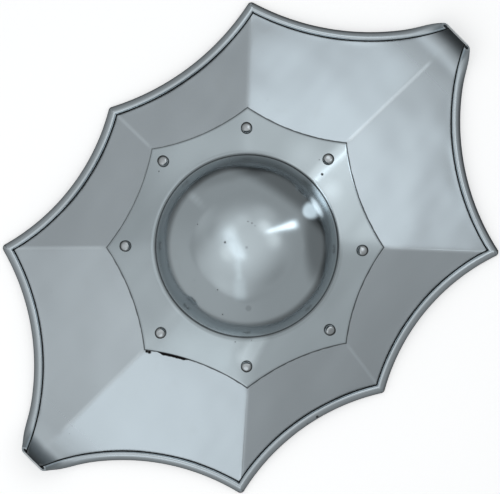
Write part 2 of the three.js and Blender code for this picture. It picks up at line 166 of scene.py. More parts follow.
def unwrapped(angle, near):
    return angle - 2 * np.pi * np.round((angle - near) / (2 * np.pi))


def crowded(n, close=0.003, growth=1.55, count=9):
    """Fractions from 0 to 1 that crowd toward both ends, where the ridges are."""
    ends = close * growth ** np.arange(count)
    middle = np.linspace(ends[-1], 1 - ends[-1], n)
    return np.concatenate([[0.0], ends[:-1], middle, 1 - ends[:-1][::-1], [1.0]])


def added(name, data):
    """A new object of the scene that holds a mesh, a light or a camera."""
    made = bpy.data.objects.new(name, data)
    bpy.context.scene.collection.objects.link(made)
    return made


class Shell:
    """Collects grids of quads and welds them into one mesh."""

    def __init__(self):
        self.points = []
        self.quads = []
        self.kinds = []
        self.size = 0

    def grid(self, points, closed=False, kind=0):
        """Quads over an array of columns of points, each column running from its first row to its last."""
        points = np.asarray(points, dtype=float)
        if closed:
            points = np.concatenate([points, points[:1]])
        columns, rows = points.shape[:2]
        index = self.size + np.arange(columns * rows).reshape(columns, rows)
        quads = np.stack([index[:-1, :-1], index[:-1, 1:], index[1:, 1:], index[1:, :-1]], axis=-1)
        self.points.append(points.reshape(-1, 3))
        self.quads.append(quads.reshape(-1, 4))
        self.kinds.append(np.full(quads[..., 0].size, kind))
        self.size += columns * rows

    def mesh(self, name, sharp=35.0):
        points = np.concatenate(self.points)
        quads = np.concatenate(self.quads)
        keys = np.round(points * WELDS_PER_MM).astype(np.int64)
        unused, first, place_of = np.unique(keys, axis=0, return_index=True, return_inverse=True)
        quads = place_of.reshape(-1)[quads]
        same = quads == np.roll(quads, -1, axis=1)
        folded = same.any(axis=1) | (quads[:, 0] == quads[:, 2]) | (quads[:, 1] == quads[:, 3])
        faces = quads[~folded].tolist()
        kinds = np.concatenate(self.kinds)
        face_kinds = kinds[~folded].tolist()
        for quad, kind in zip(quads[folded], kinds[folded]):
            face = [v for k, v in enumerate(quad) if v != quad[k - 1]]
            if len(set(face)) == 3 and len(face) == 3:
                faces.append(face)
                face_kinds.append(kind)
        made = bpy.data.meshes.new(name)
        made.from_pydata((points[first] * MM + AXIS).tolist(), [], faces)
        made.polygons.foreach_set("material_index", face_kinds)
        made.validate()
        made.update()
        made.shade_smooth()
        made.set_sharp_from_angle(angle=math.radians(sharp))
        return added(name, made)


# The sides of the shield: arcs about centres outside it
def corner_out(corner):
    return polar(corner["tip"][0], corner["tip"][1] - BEAD_RADIUS)


def corner_point(corner, way):
    if "tip" in corner:
        return corner_out(corner)
    side, reach, width = corner["end"]
    return np.array([way * side * width / 2, side * reach])


def bulged(start, stop, depth):
    """The centre and radius of the arc from start to stop that is hollowed by depth toward the middle."""
    chord = stop - start
    half = np.linalg.norm(chord) / 2
    radius = (half * half + depth * depth) / (2 * depth)
    return (start + stop) / 2 - aside(chord) / (2 * half) * (radius - depth), radius


SIDES = []
for index, corner in enumerate(CORNERS):
    begin = corner_point(corner, -1)
    finish = corner_point(CORNERS[(index + 1) % COUNT], 1)
    centre, radius = bulged(begin, finish, corner["side_depth"])
    SIDES.append(dict(begin=begin, finish=finish, centre=centre, radius=radius))


def angle_about(centre, p):
    return math.atan2(p[1] - centre[1], p[0] - centre[0])


def mitre(before, after, inward, near):
    """Where two neighbouring arcs meet when both are moved the same distance into the shield."""
    r1 = before["radius"] + inward
    r2 = after["radius"] + inward
    between = after["centre"] - before["centre"]
    distance = np.linalg.norm(between)
    along = (distance ** 2 + r1 ** 2 - r2 ** 2) / (2 * distance)
    across = math.sqrt(max(0.0, r1 ** 2 - along ** 2))
    foot = before["centre"] + between * along / distance
    normal = aside(between) / distance
    options = [foot + normal * across, foot - normal * across]
    return min(options, key=lambda p: np.linalg.norm(p - near))


# The facets: ridges from the apex over each star tip to each corner, with level chords between them
RIDGES = []
for corner in CORNERS:
    star_tip = polar(*corner["star"])
    ridge_foot = corner_out(corner) if "tip" in corner else np.array([0.0, corner["end"][0] * RIDGE_FOOT])
    bend_at = np.linalg.norm(star_tip) / np.linalg.norm(ridge_foot)
    RIDGES.append(dict(star=star_tip, foot=ridge_foot, bend=bend_at))


def on_ridge(i, fall):
    """Points seen from above at the given falls from the apex, as an array of shape (..., 2)."""
    ridge = RIDGES[i % COUNT]
    fall = np.asarray(fall, dtype=float)[..., None]
    inner = ridge["star"] * fall / ridge["bend"]
    outer = mix(ridge["star"], ridge["foot"], (fall - ridge["bend"]) / (1 - ridge["bend"]))
    return np.where(fall < ridge["bend"], inner, outer)


def on_facet(i, fall, t):
    return mix(on_ridge(i, fall), on_ridge(i + 1, fall), np.asarray(t, dtype=float)[..., None])


def halved(rising, low, high):
    """Where rising functions cross zero, for arrays of brackets."""
    for unused in range(HALVINGS):
        middle = (low + high) / 2
        above = rising(middle) > 0
        high = np.where(above, middle, high)
        low = np.where(above, low, middle)
    return (low + high) / 2


def place(points):
    """The facet, the fall from the apex and the place across the facet of points seen from above."""
    points = np.asarray(points, dtype=float).reshape(-1, 2)
    n = len(points)
    facet = np.zeros(n, dtype=int)
    fall = np.zeros(n)
    across = np.zeros(n)
    least = np.full(n, np.inf)
    for i in range(COUNT):
        ahead = points @ on_facet(i, 1.0, 0.5) > 0
        p = points[ahead]

        def outside(s):
            a = on_ridge(i, s)
            b = on_ridge(i + 1, s)
            d = b - a
            return d[:, 0] * (p[:, 1] - a[:, 1]) - d[:, 1] * (p[:, 0] - a[:, 0])

        s = halved(outside, np.full(len(p), 0.001), np.full(len(p), 1.4))
        a = on_ridge(i, s)
        chord = on_ridge(i + 1, s) - a
        t = ((p - a) * chord).sum(1) / (chord ** 2).sum(1)
        miss = np.maximum(0, np.maximum(-t, t - 1))
        better = miss < least[ahead]
        chosen = np.flatnonzero(ahead)[better]
        facet[chosen] = i
        fall[chosen] = s[better]
        across[chosen] = t[better]
        least[chosen] = miss[better]
    return facet, fall, across


def facet_height(points):
    return APEX_HEIGHT * (1 - place(points)[1])


def segment_distance(points, a, b):
    d = b - a
    t = np.clip(((points - a) @ d) / (d @ d), 0, 1)
    return np.linalg.norm(points - a - t[:, None] * d, axis=1)


def kink(i, fall):
    """Half the change of slope across a ridge."""
    p = on_ridge(i, fall)
    d = on_ridge(i, fall + 0.01) - p
    side = aside(d) / np.linalg.norm(d)
    heights = facet_height([p, p + side, p - side])
    return heights[0] - (heights[1] + heights[2]) / 2


near_end = facet_height([(0.0, BEND_START), (10.0, BEND_START)])
ROOF_SLOPE = (near_end[0] - near_end[1]) / 10.0

for number, ridge in enumerate(RIDGES):
    ridge["inner_kink"] = kink(number, ridge["bend"] * 0.8)
    ridge["outer_kink"] = kink(number, mix(ridge["bend"], 1.0, 0.5))

random = np.random.default_rng(WAVE_SEED)
WAVE_SET = []
for length, high in WAVES:
    for unused in range(WAVES_OF_EACH):
        number = 2 * np.pi / (length * random.uniform(0.8, 1.25))
        bearing = random.uniform(0, np.pi)
        start = random.uniform(0, 2 * np.pi)
        WAVE_SET.append((number, bearing, start, high))


def waviness(points):
    """The gentle unevenness of sheet steel worked by hand."""
    total = np.zeros(len(points))
    for number, bearing, start, high in WAVE_SET:
        along = points[:, 0] * math.cos(bearing) + points[:, 1] * math.sin(bearing)
        total += high * np.sin(along * number + start)
    return total


def rim_distance(points):
    """How far points lie inside the centre line of the rolled edge."""
    reaches = [np.linalg.norm(points - side["centre"], axis=1) - side["radius"] for side in SIDES]
    return np.min(reaches, axis=0)


def worked_drop(points, rounding=RIDGE_ROUNDING):
    """How far the worked sheet lies under its sharp-ridged form, which it keeps at the rim."""
    points = np.asarray(points, dtype=float).reshape(-1, 2)
    drop = SETTLING - waviness(points)
    far = np.full(len(points), np.inf)
    for ridge in RIDGES:
        inner = segment_distance(points, np.zeros(2), ridge["star"])
        outer = segment_distance(points, ridge["star"], ridge["foot"] * 1.1)
        near = np.minimum(inner, outer)
        strength = np.where(inner < outer, ridge["inner_kink"], ridge["outer_kink"])
        rounded = strength * np.clip(rounding - near, 0, None) ** 2 / (2 * rounding)
        drop += np.where(near < far, rounded, 0)
        far = np.minimum(far, near)
    inside = rim_distance(points)
    flattening = smooth((np.abs(points[:, 1]) - BEND_START) / TAB_FLATTENING) * ROOF_SLOPE
    return drop * smooth(inside / RIM_FADE) + flattening * np.clip(inside, 0, None)


def front_height(points):
    return facet_height(points) - worked_drop(points)


UPRIGHT = SHEET / math.cos(math.radians(BEAD_TILT))
RIDGE_SLOPE = math.atan(APEX_HEIGHT / RIDGE_FOOT)
TURN = math.radians(END_TILT) + RIDGE_SLOPE
BEND_LENGTH = TURN * BEND_RADIUS

# The bend's course along the sheet: it begins and ends gently, as sheet turned up by hand does
bend_travel = np.linspace(-BEND_EASE, 1 + BEND_EASE, 400) * BEND_LENGTH
bend_angle = TURN * smooth((bend_travel / BEND_LENGTH + BEND_EASE) / (1 + 2 * BEND_EASE))
bend_step = bend_travel[1] - bend_travel[0]
middle_angle = (bend_angle[1:] + bend_angle[:-1]) / 2
bend_along = bend_travel[0] + np.concatenate([[0], np.cumsum(np.cos(middle_angle) * bend_step)])
bend_above = np.concatenate([[0], np.cumsum(np.sin(middle_angle) * bend_step)])


def turned_up(p):
    """Rolls what lies past the bend's start up about an axis across the plate."""
    p = np.asarray(p, dtype=float)
    start = np.array([BEND_START, APEX_HEIGHT * (1 - BEND_START / RIDGE_FOOT)])
    run = np.array([math.cos(RIDGE_SLOPE), -math.sin(RIDGE_SLOPE)])
    up = np.array([math.sin(RIDGE_SLOPE), math.cos(RIDGE_SLOPE)])
    flat = np.stack([np.abs(p[..., 1]), p[..., 2]], axis=-1) - start
    travel = flat @ run
    height = flat @ up
    angle = np.interp(travel, bend_travel, bend_angle)
    rest = np.maximum(travel - bend_travel[-1], 0)
    along = np.interp(travel, bend_travel, bend_along) + rest * math.cos(TURN) - height * np.sin(angle)
    above = np.interp(travel, bend_travel, bend_above) + rest * math.sin(TURN) + height * np.cos(angle)
    bent = start + along[..., None] * run + above[..., None] * up
    out = np.stack([p[..., 0], np.sign(p[..., 1]) * bent[..., 0], bent[..., 1]], axis=-1)
    return np.where((travel > bend_travel[0])[..., None], out, p)


# How finely the plate is cut
SIDE_STEPS = 42
BEND_STEPS = 20
TAB_STEPS = 8
TIP_STEPS = 10
CUT_STEPS = 16
INNER_ROWS = 12
OUTER_ROWS = 34
OUTER_CROWDING = 1.6
BEAD_INSIDE_STEPS = 18
BEAD_OUTSIDE_STEPS = 30
BEND_RUN = BEND_LENGTH * math.cos(RIDGE_SLOPE)
BEND_LEVELS = BEND_START + np.linspace(-BEND_EASE, 1 + BEND_EASE, BEND_STEPS + 1) * BEND_RUN


def bead_arc(radius, n):
    angle = np.radians(-90 - BEAD_TILT + np.linspace(0, BEAD_WRAP, n + 1))
    return np.stack([-radius * np.cos(angle), radius * np.sin(angle)], axis=1)


BEAD_INSIDE = bead_arc(BEAD_RADIUS - BEAD_TRIM - SHEET, BEAD_INSIDE_STEPS)
BEAD_OUTSIDE = bead_arc(BEAD_RADIUS - BEAD_TRIM, BEAD_OUTSIDE_STEPS)
BEAD_CENTRE_HEIGHT = (BEAD_RADIUS - BEAD_TRIM - SHEET) / math.cos(math.radians(BEAD_TILT)) + BEAD_LIFT


def side_angles(i, inward):
    """The angles of one side's stations, for a line at a distance into the shield from the bead's centre."""
    side = SIDES[i]
    corner, following = CORNERS[i], CORNERS[(i + 1) % COUNT]

    def level(y, near):
        across = np.clip((y - side["centre"][1]) / (side["radius"] + inward), -1, 1)
        angle = np.arcsin(across)
        return np.pi - angle if near[0] < side["centre"][0] else angle

    def at_tip(before, after, target):
        point = mitre(SIDES[before % COUNT], SIDES[after % COUNT], inward, target) if inward > 0 else target
        return angle_about(side["centre"], point)

    def up_the_end(end, near, other):
        way, reach, unused = end
        tab = np.linspace(BEND_LEVELS[-1], reach - CUT_TRIM, TAB_STEPS + 1)
        return unwrapped(level(way * np.concatenate([BEND_LEVELS, tab[1:]]), near), other)

    begin = at_tip(i - 1, i, side["begin"]) if "tip" in corner else None
    finish = at_tip(i, i + 1, side["finish"]) if "tip" in following else None
    if "end" in following:
        bend = up_the_end(following["end"], side["finish"], begin)
        return np.concatenate([mix(begin, bend[0], crowded(SIDE_STEPS)), bend[1:]])
    if "end" in corner:
        bend = up_the_end(corner["end"], side["begin"], finish)
        return np.concatenate([bend[:0:-1], mix(bend[0], finish, crowded(SIDE_STEPS))])
    return mix(begin, unwrapped(finish, begin), crowded(SIDE_STEPS))


def round_from(centre, radius, angles):
    return centre + radius * np.stack([np.cos(angles), np.sin(angles)], axis=-1)


def bead_columns(i):
    """The bead's inside and outside points at every station of one side."""
    side = SIDES[i]
    centres = round_from(side["centre"], side["radius"], side_angles(i, 0))
    front = facet_height(centres)
    past = np.max([np.abs(centres[:, 1]) - corner["end"][1] + PRESSED_LENGTH
                   for corner in (CORNERS[i], CORNERS[(i + 1) % COUNT]) if "end" in corner]
                  or [np.zeros(len(centres))], axis=0)
    ending = smooth(past / PRESSED_LENGTH)
    pressed = mix(1.0, PRESSED, ending)

    def lines(section):
        made = []
        for inward, above in section:
            lean = BEAD_LEAN * max(above, 0.0) * (INNER_LEAN_SHARE if inward > 0 else 1.0)
            lean -= INNER_DRAW * max(inward, 0.0)
            p = round_from(side["centre"], side["radius"] + inward, side_angles(i, inward))
            toward_middle = (p - side["centre"]) / np.linalg.norm(p - side["centre"], axis=1)[:, None]
            p = p + toward_middle * (lean * (1 - ending))[:, None]
            over = BEAD_CENTRE_HEIGHT + above
            made.append(np.column_stack([p, front + over * (pressed if over > 0 else 1)]))
        return np.stack(made, axis=1)

    return lines(BEAD_INSIDE), lines(BEAD_OUTSIDE)


def turned_round(last, first, section, centre):
    """Columns that carry the outer half of the bead round a tip."""
    made = []
    for k in np.linspace(0, 1, TIP_STEPS + 1)[1:-1]:
        column = last.copy()
        for n, (inward, unused) in enumerate(section):
            if inward < 0:
                start = angle_about(centre, last[n])
                stop = unwrapped(angle_about(centre, first[n]), start)
                angle = mix(start, stop, k)
                column[n, :2] = centre - inward * np.array([math.cos(angle), math.sin(angle)])
        made.append(column)
    return made


def sheet_columns(front_root, back_root):
    """Columns of sheet from the hole to the points where the bead or the cut begins."""
    facets, falls, across = place(front_root[:, :2])
    fronts = np.zeros((len(front_root), INNER_ROWS + OUTER_ROWS + BEND_STEPS + TAB_STEPS + 1, 3))
    for i in range(COUNT):
        mine = np.flatnonzero(facets == i)
        if len(mine) == 0:
            continue
        t, root = across[mine], falls[mine]
        n = len(mine)
        hole = halved(lambda s: np.linalg.norm(on_facet(i, s, t), axis=1) - HOLE_RADIUS,
                      np.full(n, 0.001), np.full(n, 1.0))
        fold = mix(RIDGES[i]["bend"], RIDGES[(i + 1) % COUNT]["bend"], t)

        def level(y):
            reach = halved(lambda s: np.abs(on_facet(i, s, t)[:, 1]) - y, np.full(n, 0.001), np.full(n, 2.0))
            return np.minimum(root, reach)

        first = level(BEND_LEVELS[0])
        last = level(BEND_LEVELS[-1])
        rows = [mix(hole, fold, k) for k in np.linspace(0, 1, INNER_ROWS, endpoint=False)]
        outer = 1 - (1 - np.linspace(0, 1, OUTER_ROWS, endpoint=False)) ** OUTER_CROWDING
        rows += [mix(fold, first, k) for k in outer]
        rows += [level(y) for y in BEND_LEVELS[:-1]]
        rows += [mix(last, root, k) for k in np.linspace(0, 1, TAB_STEPS + 1)]
        for k, s in enumerate(rows):
            fronts[mine, k, :2] = on_facet(i, s, t)
            fronts[mine, k, 2] = APEX_HEIGHT * (1 - s)
    at_root = np.abs(fronts[:, :, :2] - front_root[:, None, :2]).max(axis=2) < 1e-3
    fronts[:, :, 2] -= worked_drop(fronts[:, :, :2].reshape(-1, 2)).reshape(at_root.shape)
    backs = fronts - np.array([0, 0, UPRIGHT])
    fronts = np.where(at_root[..., None], front_root[:, None], fronts)
    backs = np.where(at_root[..., None], back_root[:, None], backs)
    return fronts, backs


def make_plate():
    """The sheet with its rolled edge, as one closed skin."""
    shell = Shell()
    beads = [bead_columns(i) for i in range(COUNT)]
    chains, roots_front, roots_back, cuts = [], [], [], []
    for i, corner in enumerate(CORNERS):
        inside, outside = (list(part) for part in beads[i])
        if "end" in corner:
            way, reach, unused = corner["end"]
            last, first = beads[i - 1][0][-1][0], beads[i][0][0][0]
            xs = np.linspace(last[0], first[0], CUT_STEPS + 1)[1:-1]
            cut = np.column_stack([xs, np.full(len(xs), way * (reach - CUT_TRIM)), np.zeros(len(xs))])
            roots_front.append(cut)
            roots_back.append(cut)
            cuts += [True] * len(cut)
        else:
            centre = SIDES[i]["begin"]
            turn_inside = turned_round(beads[i - 1][0][-1], beads[i][0][0], BEAD_INSIDE, centre)
            turn_outside = turned_round(beads[i - 1][1][-1], beads[i][1][0], BEAD_OUTSIDE, centre)
            inside = [beads[i - 1][0][-1]] + turn_inside + inside
            outside = [beads[i - 1][1][-1]] + turn_outside + outside
        inside, outside = np.array(inside), np.array(outside)
        inside[:, 0, 2] = front_height(inside[:, 0, :2])
        outside[:, 0, 2] = front_height(outside[:, 0, :2]) - UPRIGHT
        roots_front.append(inside[:, 0])
        roots_back.append(outside[:, 0])
        cuts += [False] * len(inside)
        chains.append((inside, outside))
    front_root = np.concatenate(roots_front)
    back_root = np.concatenate(roots_back)
    cuts = np.array(cuts)
    front_root[cuts, 2] = front_height(front_root[cuts, :2])
    back_root[cuts, 2] = front_root[cuts, 2] - UPRIGHT
    fronts, backs = sheet_columns(front_root, back_root)
    fronts, backs = turned_up(fronts), turned_up(backs)
    shell.grid(fronts, closed=True)
    shell.grid(backs[:, ::-1], closed=True)
    shell.grid(np.stack([backs[:, 0], fronts[:, 0]], axis=1), closed=True)

    # The raw edge along each cut
    total = len(cuts)
    for k in range(total):
        following = (k + 1) % total
        if cuts[k] or cuts[following]:
            edge = np.array([[fronts[k, -1], backs[k, -1]], [fronts[following, -1], backs[following, -1]]])
            shell.grid(edge, kind=1)

    # The bead, and its open ends at the cuts
    for i, (inside, outside) in enumerate(chains):
        wall = turned_up(np.concatenate([inside, outside[:, ::-1]], axis=1))
        shell.grid(wall)
        for station, is_start in ((0, True), (-1, False)):
            if "end" in CORNERS[(i + (0 if is_start else 1)) % COUNT]:
                ring = cap_strip(turned_up(inside[station]), turned_up(outside[station]))
                shell.grid(ring if is_start else ring[:, ::-1])
    return shell.mesh("buckler_plate")


def cap_strip(inside, outside):
    """The bare ring of metal where the bead is cut: inside points paired with outside points."""
    pairs = sorted(
        [(k / (len(inside) - 1), 0, k) for k in range(len(inside))]
        + [(k / (len(outside) - 1), 1, k) for k in range(len(outside))]
    )
    a = b = 0
    rows = [[inside[0], outside[0]]]
    for unused, which, k in pairs:
        if which == 0:
            a = k
        else:
            b = k
        rows.append([inside[a], outside[b]])
    return np.array(rows)


# The boss and its folded star flange
STAR_ARCS = [bulged(RIDGES[i]["star"], RIDGES[(i + 1) % COUNT]["star"], STAR_DEPTH) for i in range(COUNT)]
DOME_RADIUS = BOSS_RADIUS - BOSS_TRIM
FILLET_REACH = DOME_RADIUS + FOOT_FILLET
foot_places = [polar(corner["star"][0], BOSS_RADIUS + FOOT_FILLET) for corner in CORNERS]
DOME_FOOT = float(facet_height(foot_places).max()) + GAP + UPRIGHT + FOOT_FILLET
STAR_STEPS = 44
DOME_STEPS = 70
FILLET_STEPS = 10
FLANGE_STEPS = 22
EDGE_ROUNDING = 0.6


def make_boss():
    """The dome and its flange, as rings from the top down the outside, round the edge and up the inside."""
    shell = Shell()
    edges = []
    for i, (centre, radius) in enumerate(STAR_ARCS):
        begin = angle_about(centre, RIDGES[i]["star"])
        finish = unwrapped(angle_about(centre, RIDGES[(i + 1) % COUNT]["star"]), begin)
        edges.append(round_from(centre, radius, mix(begin, finish, crowded(STAR_STEPS, 0.006)[:-1])))
    edges = np.concatenate(edges)
    reach = np.linalg.norm(edges, axis=1)
    toward = edges / reach[:, None]

    def ring(distance, height):
        distance = np.broadcast_to(distance, reach.shape)
        height = np.broadcast_to(height, reach.shape)
        return np.column_stack([toward * distance[:, None], height])

    def flange(distance):
        distance = np.broadcast_to(distance, reach.shape)
        p = toward * distance[:, None]
        swell = FOOT_SWELL * np.exp(-(distance - FILLET_REACH) / SWELL_LENGTH)
        return facet_height(p) - worked_drop(p, FLANGE_ROUNDING) + GAP + FLANGE_LIFT + swell

    foot = flange(FILLET_REACH)
    dome_foot = np.full(reach.shape, DOME_FOOT)
    quarter = np.linspace(0, np.pi / 2, DOME_STEPS + 1)
    turn = np.linspace(0, np.pi / 2, FILLET_STEPS + 1)
    rows = []
    for angle in quarter[::-1]:
        rows.append(ring(max(DOME_RADIUS * math.cos(angle), 1e-6), dome_foot + BOSS_RISE * math.sin(angle)))
    for angle in turn[::-1]:
        rows.append(ring(FILLET_REACH - FOOT_FILLET * math.sin(angle),
                         foot + UPRIGHT + FOOT_FILLET * (1 - math.cos(angle))))
    spread = np.linspace(0, 1, FLANGE_STEPS + 1)[1:]
    for k in spread:
        distance = mix(FILLET_REACH, reach - EDGE_ROUNDING, k)
        rows.append(ring(distance, flange(distance) + UPRIGHT))
    rim = flange(reach)
    for angle in (30, 60):
        turned = math.radians(angle)
        rows.append(ring(reach - EDGE_ROUNDING * (1 - math.sin(turned)),
                         rim + UPRIGHT - EDGE_ROUNDING * (1 - math.cos(turned))))
    rows.append(ring(reach, rim + UPRIGHT - EDGE_ROUNDING))
    rows.append(ring(reach, rim))
    for k in spread[:-1][::-1]:
        distance = mix(FILLET_REACH, reach, k)
        rows.append(ring(distance, flange(distance)))
    for angle in turn:
        rows.append(ring(FILLET_REACH - (FOOT_FILLET + SHEET) * math.sin(angle),
                         foot + (FOOT_FILLET + SHEET) * (1 - math.cos(angle))))
    for angle in quarter:
        rows.append(ring(max((DOME_RADIUS - SHEET) * math.cos(angle), 1e-6),
                         dome_foot + (BOSS_RISE - SHEET) * math.sin(angle)))
    shell.grid(np.stack(rows, axis=1), closed=True)
    return shell.mesh("buckler_boss")


# The rivets
HEAD_SEAT = GAP + SHEET + GAP + SEAT_ALLOWANCE
RIVET_SIDES = 48
HEAD_SKIRT = 0.5
# Shares of the radius and the height, from the tail's end to the plate and from the head's rim to its top
TAIL_PROFILE = [(0.001, 1.0), (0.3, 1.0), (0.55, 0.9), (0.85, 0.66), (1.0, 0.4)]
HEAD_PROFILE = [(1.0, 0.04), (1.0, 0.15), (0.985, 0.3), (0.955, 0.46), (0.905, 0.6), (0.835, 0.73),
                (0.74, 0.84), (0.62, 0.92), (0.47, 0.968), (0.3, 0.99), (0.15, 1.0), (0.0002, 1.0)]
EDGE_EASE = 0.97
TAIL_EDGE = 0.03
# How each head differs from a turned one
RIVET_SEED = 40
RIVET_TRIM = 0.028
RIVET_LOBES = (2, 3, 5)
LOBE_HEIGHTS = (0.003, 0.014)
HEAD_TILT = 0.055
HEAD_FILED = 0.12


def rivet_axes(i):
    """The point on the plate's front where a rivet stands, and its three axes."""
    p = polar(*CORNERS[i]["rivet"])
    slope = math.atan(APEX_HEIGHT / np.linalg.norm(RIDGES[i]["foot"]))
    outward = np.array([p[0], p[1], 0]) / np.linalg.norm(p)
    up = outward * math.sin(slope) + np.array([0, 0, math.cos(slope)])
    side = np.cross(up, outward)
    side /= np.linalg.norm(side)
    forward = np.cross(side, up)
    origin = np.array([p[0], p[1], float(facet_height(p)[0])])
    return origin, forward, side, up


def make_rivet(i):
    """One rivet from its tail to its head, filed a little out of round."""
    corner = CORNERS[i]
    shell = Shell()
    seat = SHEET + GAP + 2 * SEAT_ALLOWANCE + (STRAP_THICKNESS + GAP if "end" in corner else 0)
    profile = [(r * TAIL_RADIUS, -seat - z * TAIL_HEIGHT) for r, z in TAIL_PROFILE]
    profile += [(TAIL_RADIUS, -seat - TAIL_EDGE), (EDGE_EASE * TAIL_RADIUS, -seat)]
    profile += [(SHANK_RADIUS, -seat), (SHANK_RADIUS, HEAD_SEAT)]
    profile += [(EDGE_EASE * HEAD_RADIUS, HEAD_SEAT - HEAD_SKIRT)]
    profile += [(r * HEAD_RADIUS, HEAD_SEAT + z * HEAD_HEIGHT) for r, z in HEAD_PROFILE]
    profile = np.array(profile)
    origin, forward, side, up = rivet_axes(i)
    draw = np.random.default_rng(RIVET_SEED + i)
    lobes = [(n, draw.uniform(*LOBE_HEIGHTS), draw.uniform(0, 2 * np.pi)) for n in RIVET_LOBES]
    flat_side = draw.uniform(0, 2 * np.pi)
    columns = []
    for angle in np.linspace(0, 2 * np.pi, RIVET_SIDES, endpoint=False):
        uneven = 1 - RIVET_TRIM + sum(high * math.sin(n * angle + start) for n, high, start in lobes)
        x = profile[:, 0] * uneven * math.cos(angle)
        y = profile[:, 0] * uneven * math.sin(angle)
        crowned = np.clip((profile[:, 1] - HEAD_SEAT - 0.5 * HEAD_HEIGHT) / (0.5 * HEAD_HEIGHT), 0, 1)
        lean = HEAD_TILT * (x * math.cos(flat_side) + y * math.sin(flat_side)) - HEAD_FILED
        z = profile[:, 1] + crowned * lean
        columns.append(origin + x[:, None] * forward + y[:, None] * side + z[:, None] * up)
    shell.grid(np.array(columns), closed=True)
    return shell.mesh(f"buckler_rivet_{i + 1}", sharp=50)


# The grip
ROLL_STEPS = 20
DIP_STEPS = 36
PAD_STEPS = 18
WING_STEPS = 22
FLAT_STEPS = 5


def make_grip():
    """The strap from one rivet to the other, rolled round into a handle between them."""
    shell = Shell()
    top, bottom = CORNERS[2], CORNERS[6]
    half = GRIP_LENGTH / 2
    past = np.concatenate([
        np.linspace(0, half, ROLL_STEPS, endpoint=False),
        np.linspace(half, PAD_START, DIP_STEPS, endpoint=False),
    ])
    up = np.concatenate([past, np.linspace(PAD_START, top["rivet"][1] + PAD_BEYOND_RIVET, PAD_STEPS)])
    down = np.concatenate([past, np.linspace(PAD_START, bottom["rivet"][1] + PAD_BEYOND_RIVET, PAD_STEPS)])
    stations = np.concatenate([-down[:0:-1], up])
    wing_steps = np.linspace(0, 1, WING_STEPS)
    flat_steps = np.linspace(-1, 1, FLAT_STEPS)[1:-1]
    columns = []
    for y in stations:
        rolled = float(smooth((half + GRIP_FLARE - abs(y)) / GRIP_FLARE))
        sunk = float(smooth((PAD_START - abs(y)) / (PAD_START - half)))
        wing = mix((PAD_WIDTH - GRIP_FLAT) / 2, GRIP_CURL_RADIUS * math.radians(GRIP_CURL), rolled)
        bend = max(rolled, 1e-7) / GRIP_CURL_RADIUS
        angle = wing_steps * wing * bend
        out = GRIP_FLAT / 2 + np.sin(angle) / bend
        rise = (1 - np.cos(angle)) / bend
        x = np.concatenate([-out[::-1], flat_steps * GRIP_FLAT / 2, out])
        lift = np.concatenate([rise[::-1], 0 * flat_steps, rise])
        turn = np.concatenate([angle[::-1], 0 * flat_steps, -angle])
        under = front_height(np.column_stack([x, np.full(len(x), y)]))
        pad = under - UPRIGHT - GAP - STRAP_THICKNESS / math.cos(RIDGE_SLOPE) / 2
        height = mix(pad, GRIP_DEPTH + STRAP_THICKNESS / 2 + lift, sunk)
        normal = np.column_stack([np.sin(turn), 0 * turn, np.cos(turn)])
        middle = np.column_stack([x, np.full(len(x), y), height])
        upper = middle + normal * STRAP_THICKNESS / 2
        lower = middle - normal * STRAP_THICKNESS / 2
        columns.append(np.concatenate([upper, lower[::-1], upper[:1]]))
    columns = np.array(columns)
    shell.grid(columns)
    n = (columns.shape[1] - 1) // 2
    for column, flip in ((columns[0], True), (columns[-1], False)):
        pairs = np.stack([column[:n], column[n:2 * n][::-1]], axis=1)
        shell.grid(pairs[::-1] if flip else pairs)
    return shell.mesh("buckler_grip")


plate = make_plate()
boss = make_boss()
rivets = [make_rivet(i) for i in range(COUNT)]
grip = make_grip()
for piece, node, slot in (
    [(plate, "main_plate", "plate_steel"), (boss, "boss", "boss_steel"), (grip, "grip", "grip_steel")]
    + [(rivet, f"rivet_{i + 1}", "rivet_steel") for i, rivet in enumerate(rivets)]
):
    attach(piece, "root")
    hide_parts(node)


# Materials
MM_PER_PIXEL = 0.82
PHOTO_SIZE = (500, 494)
BOSS_PIXEL = (246.3, 245.5)
PHOTO_TURN = 45
CAMERA_DISTANCE = 4.0

# How high the surface lies, in millimetres, where pixels of the photo are read
PLATE_LEVEL = 15.0
FLANGE_LEVEL = 35.0
DOME_SIDE_LEVEL = 75.0
DOME_TOP_LEVEL = 95.0


def at_pixel(x, y, height=PLATE_LEVEL):
    """The place on the shield, in millimetres about its axis, that a pixel of the photo shows."""
    scale = MM_PER_PIXEL * (1 - (height - PLATE_LEVEL) * MM / CAMERA_DISTANCE)
    right, up = (x - BOSS_PIXEL[0]) * scale, (BOSS_PIXEL[1] - y) * scale
    return np.array([(right - up) / math.sqrt(2), (right + up) / math.sqrt(2)])


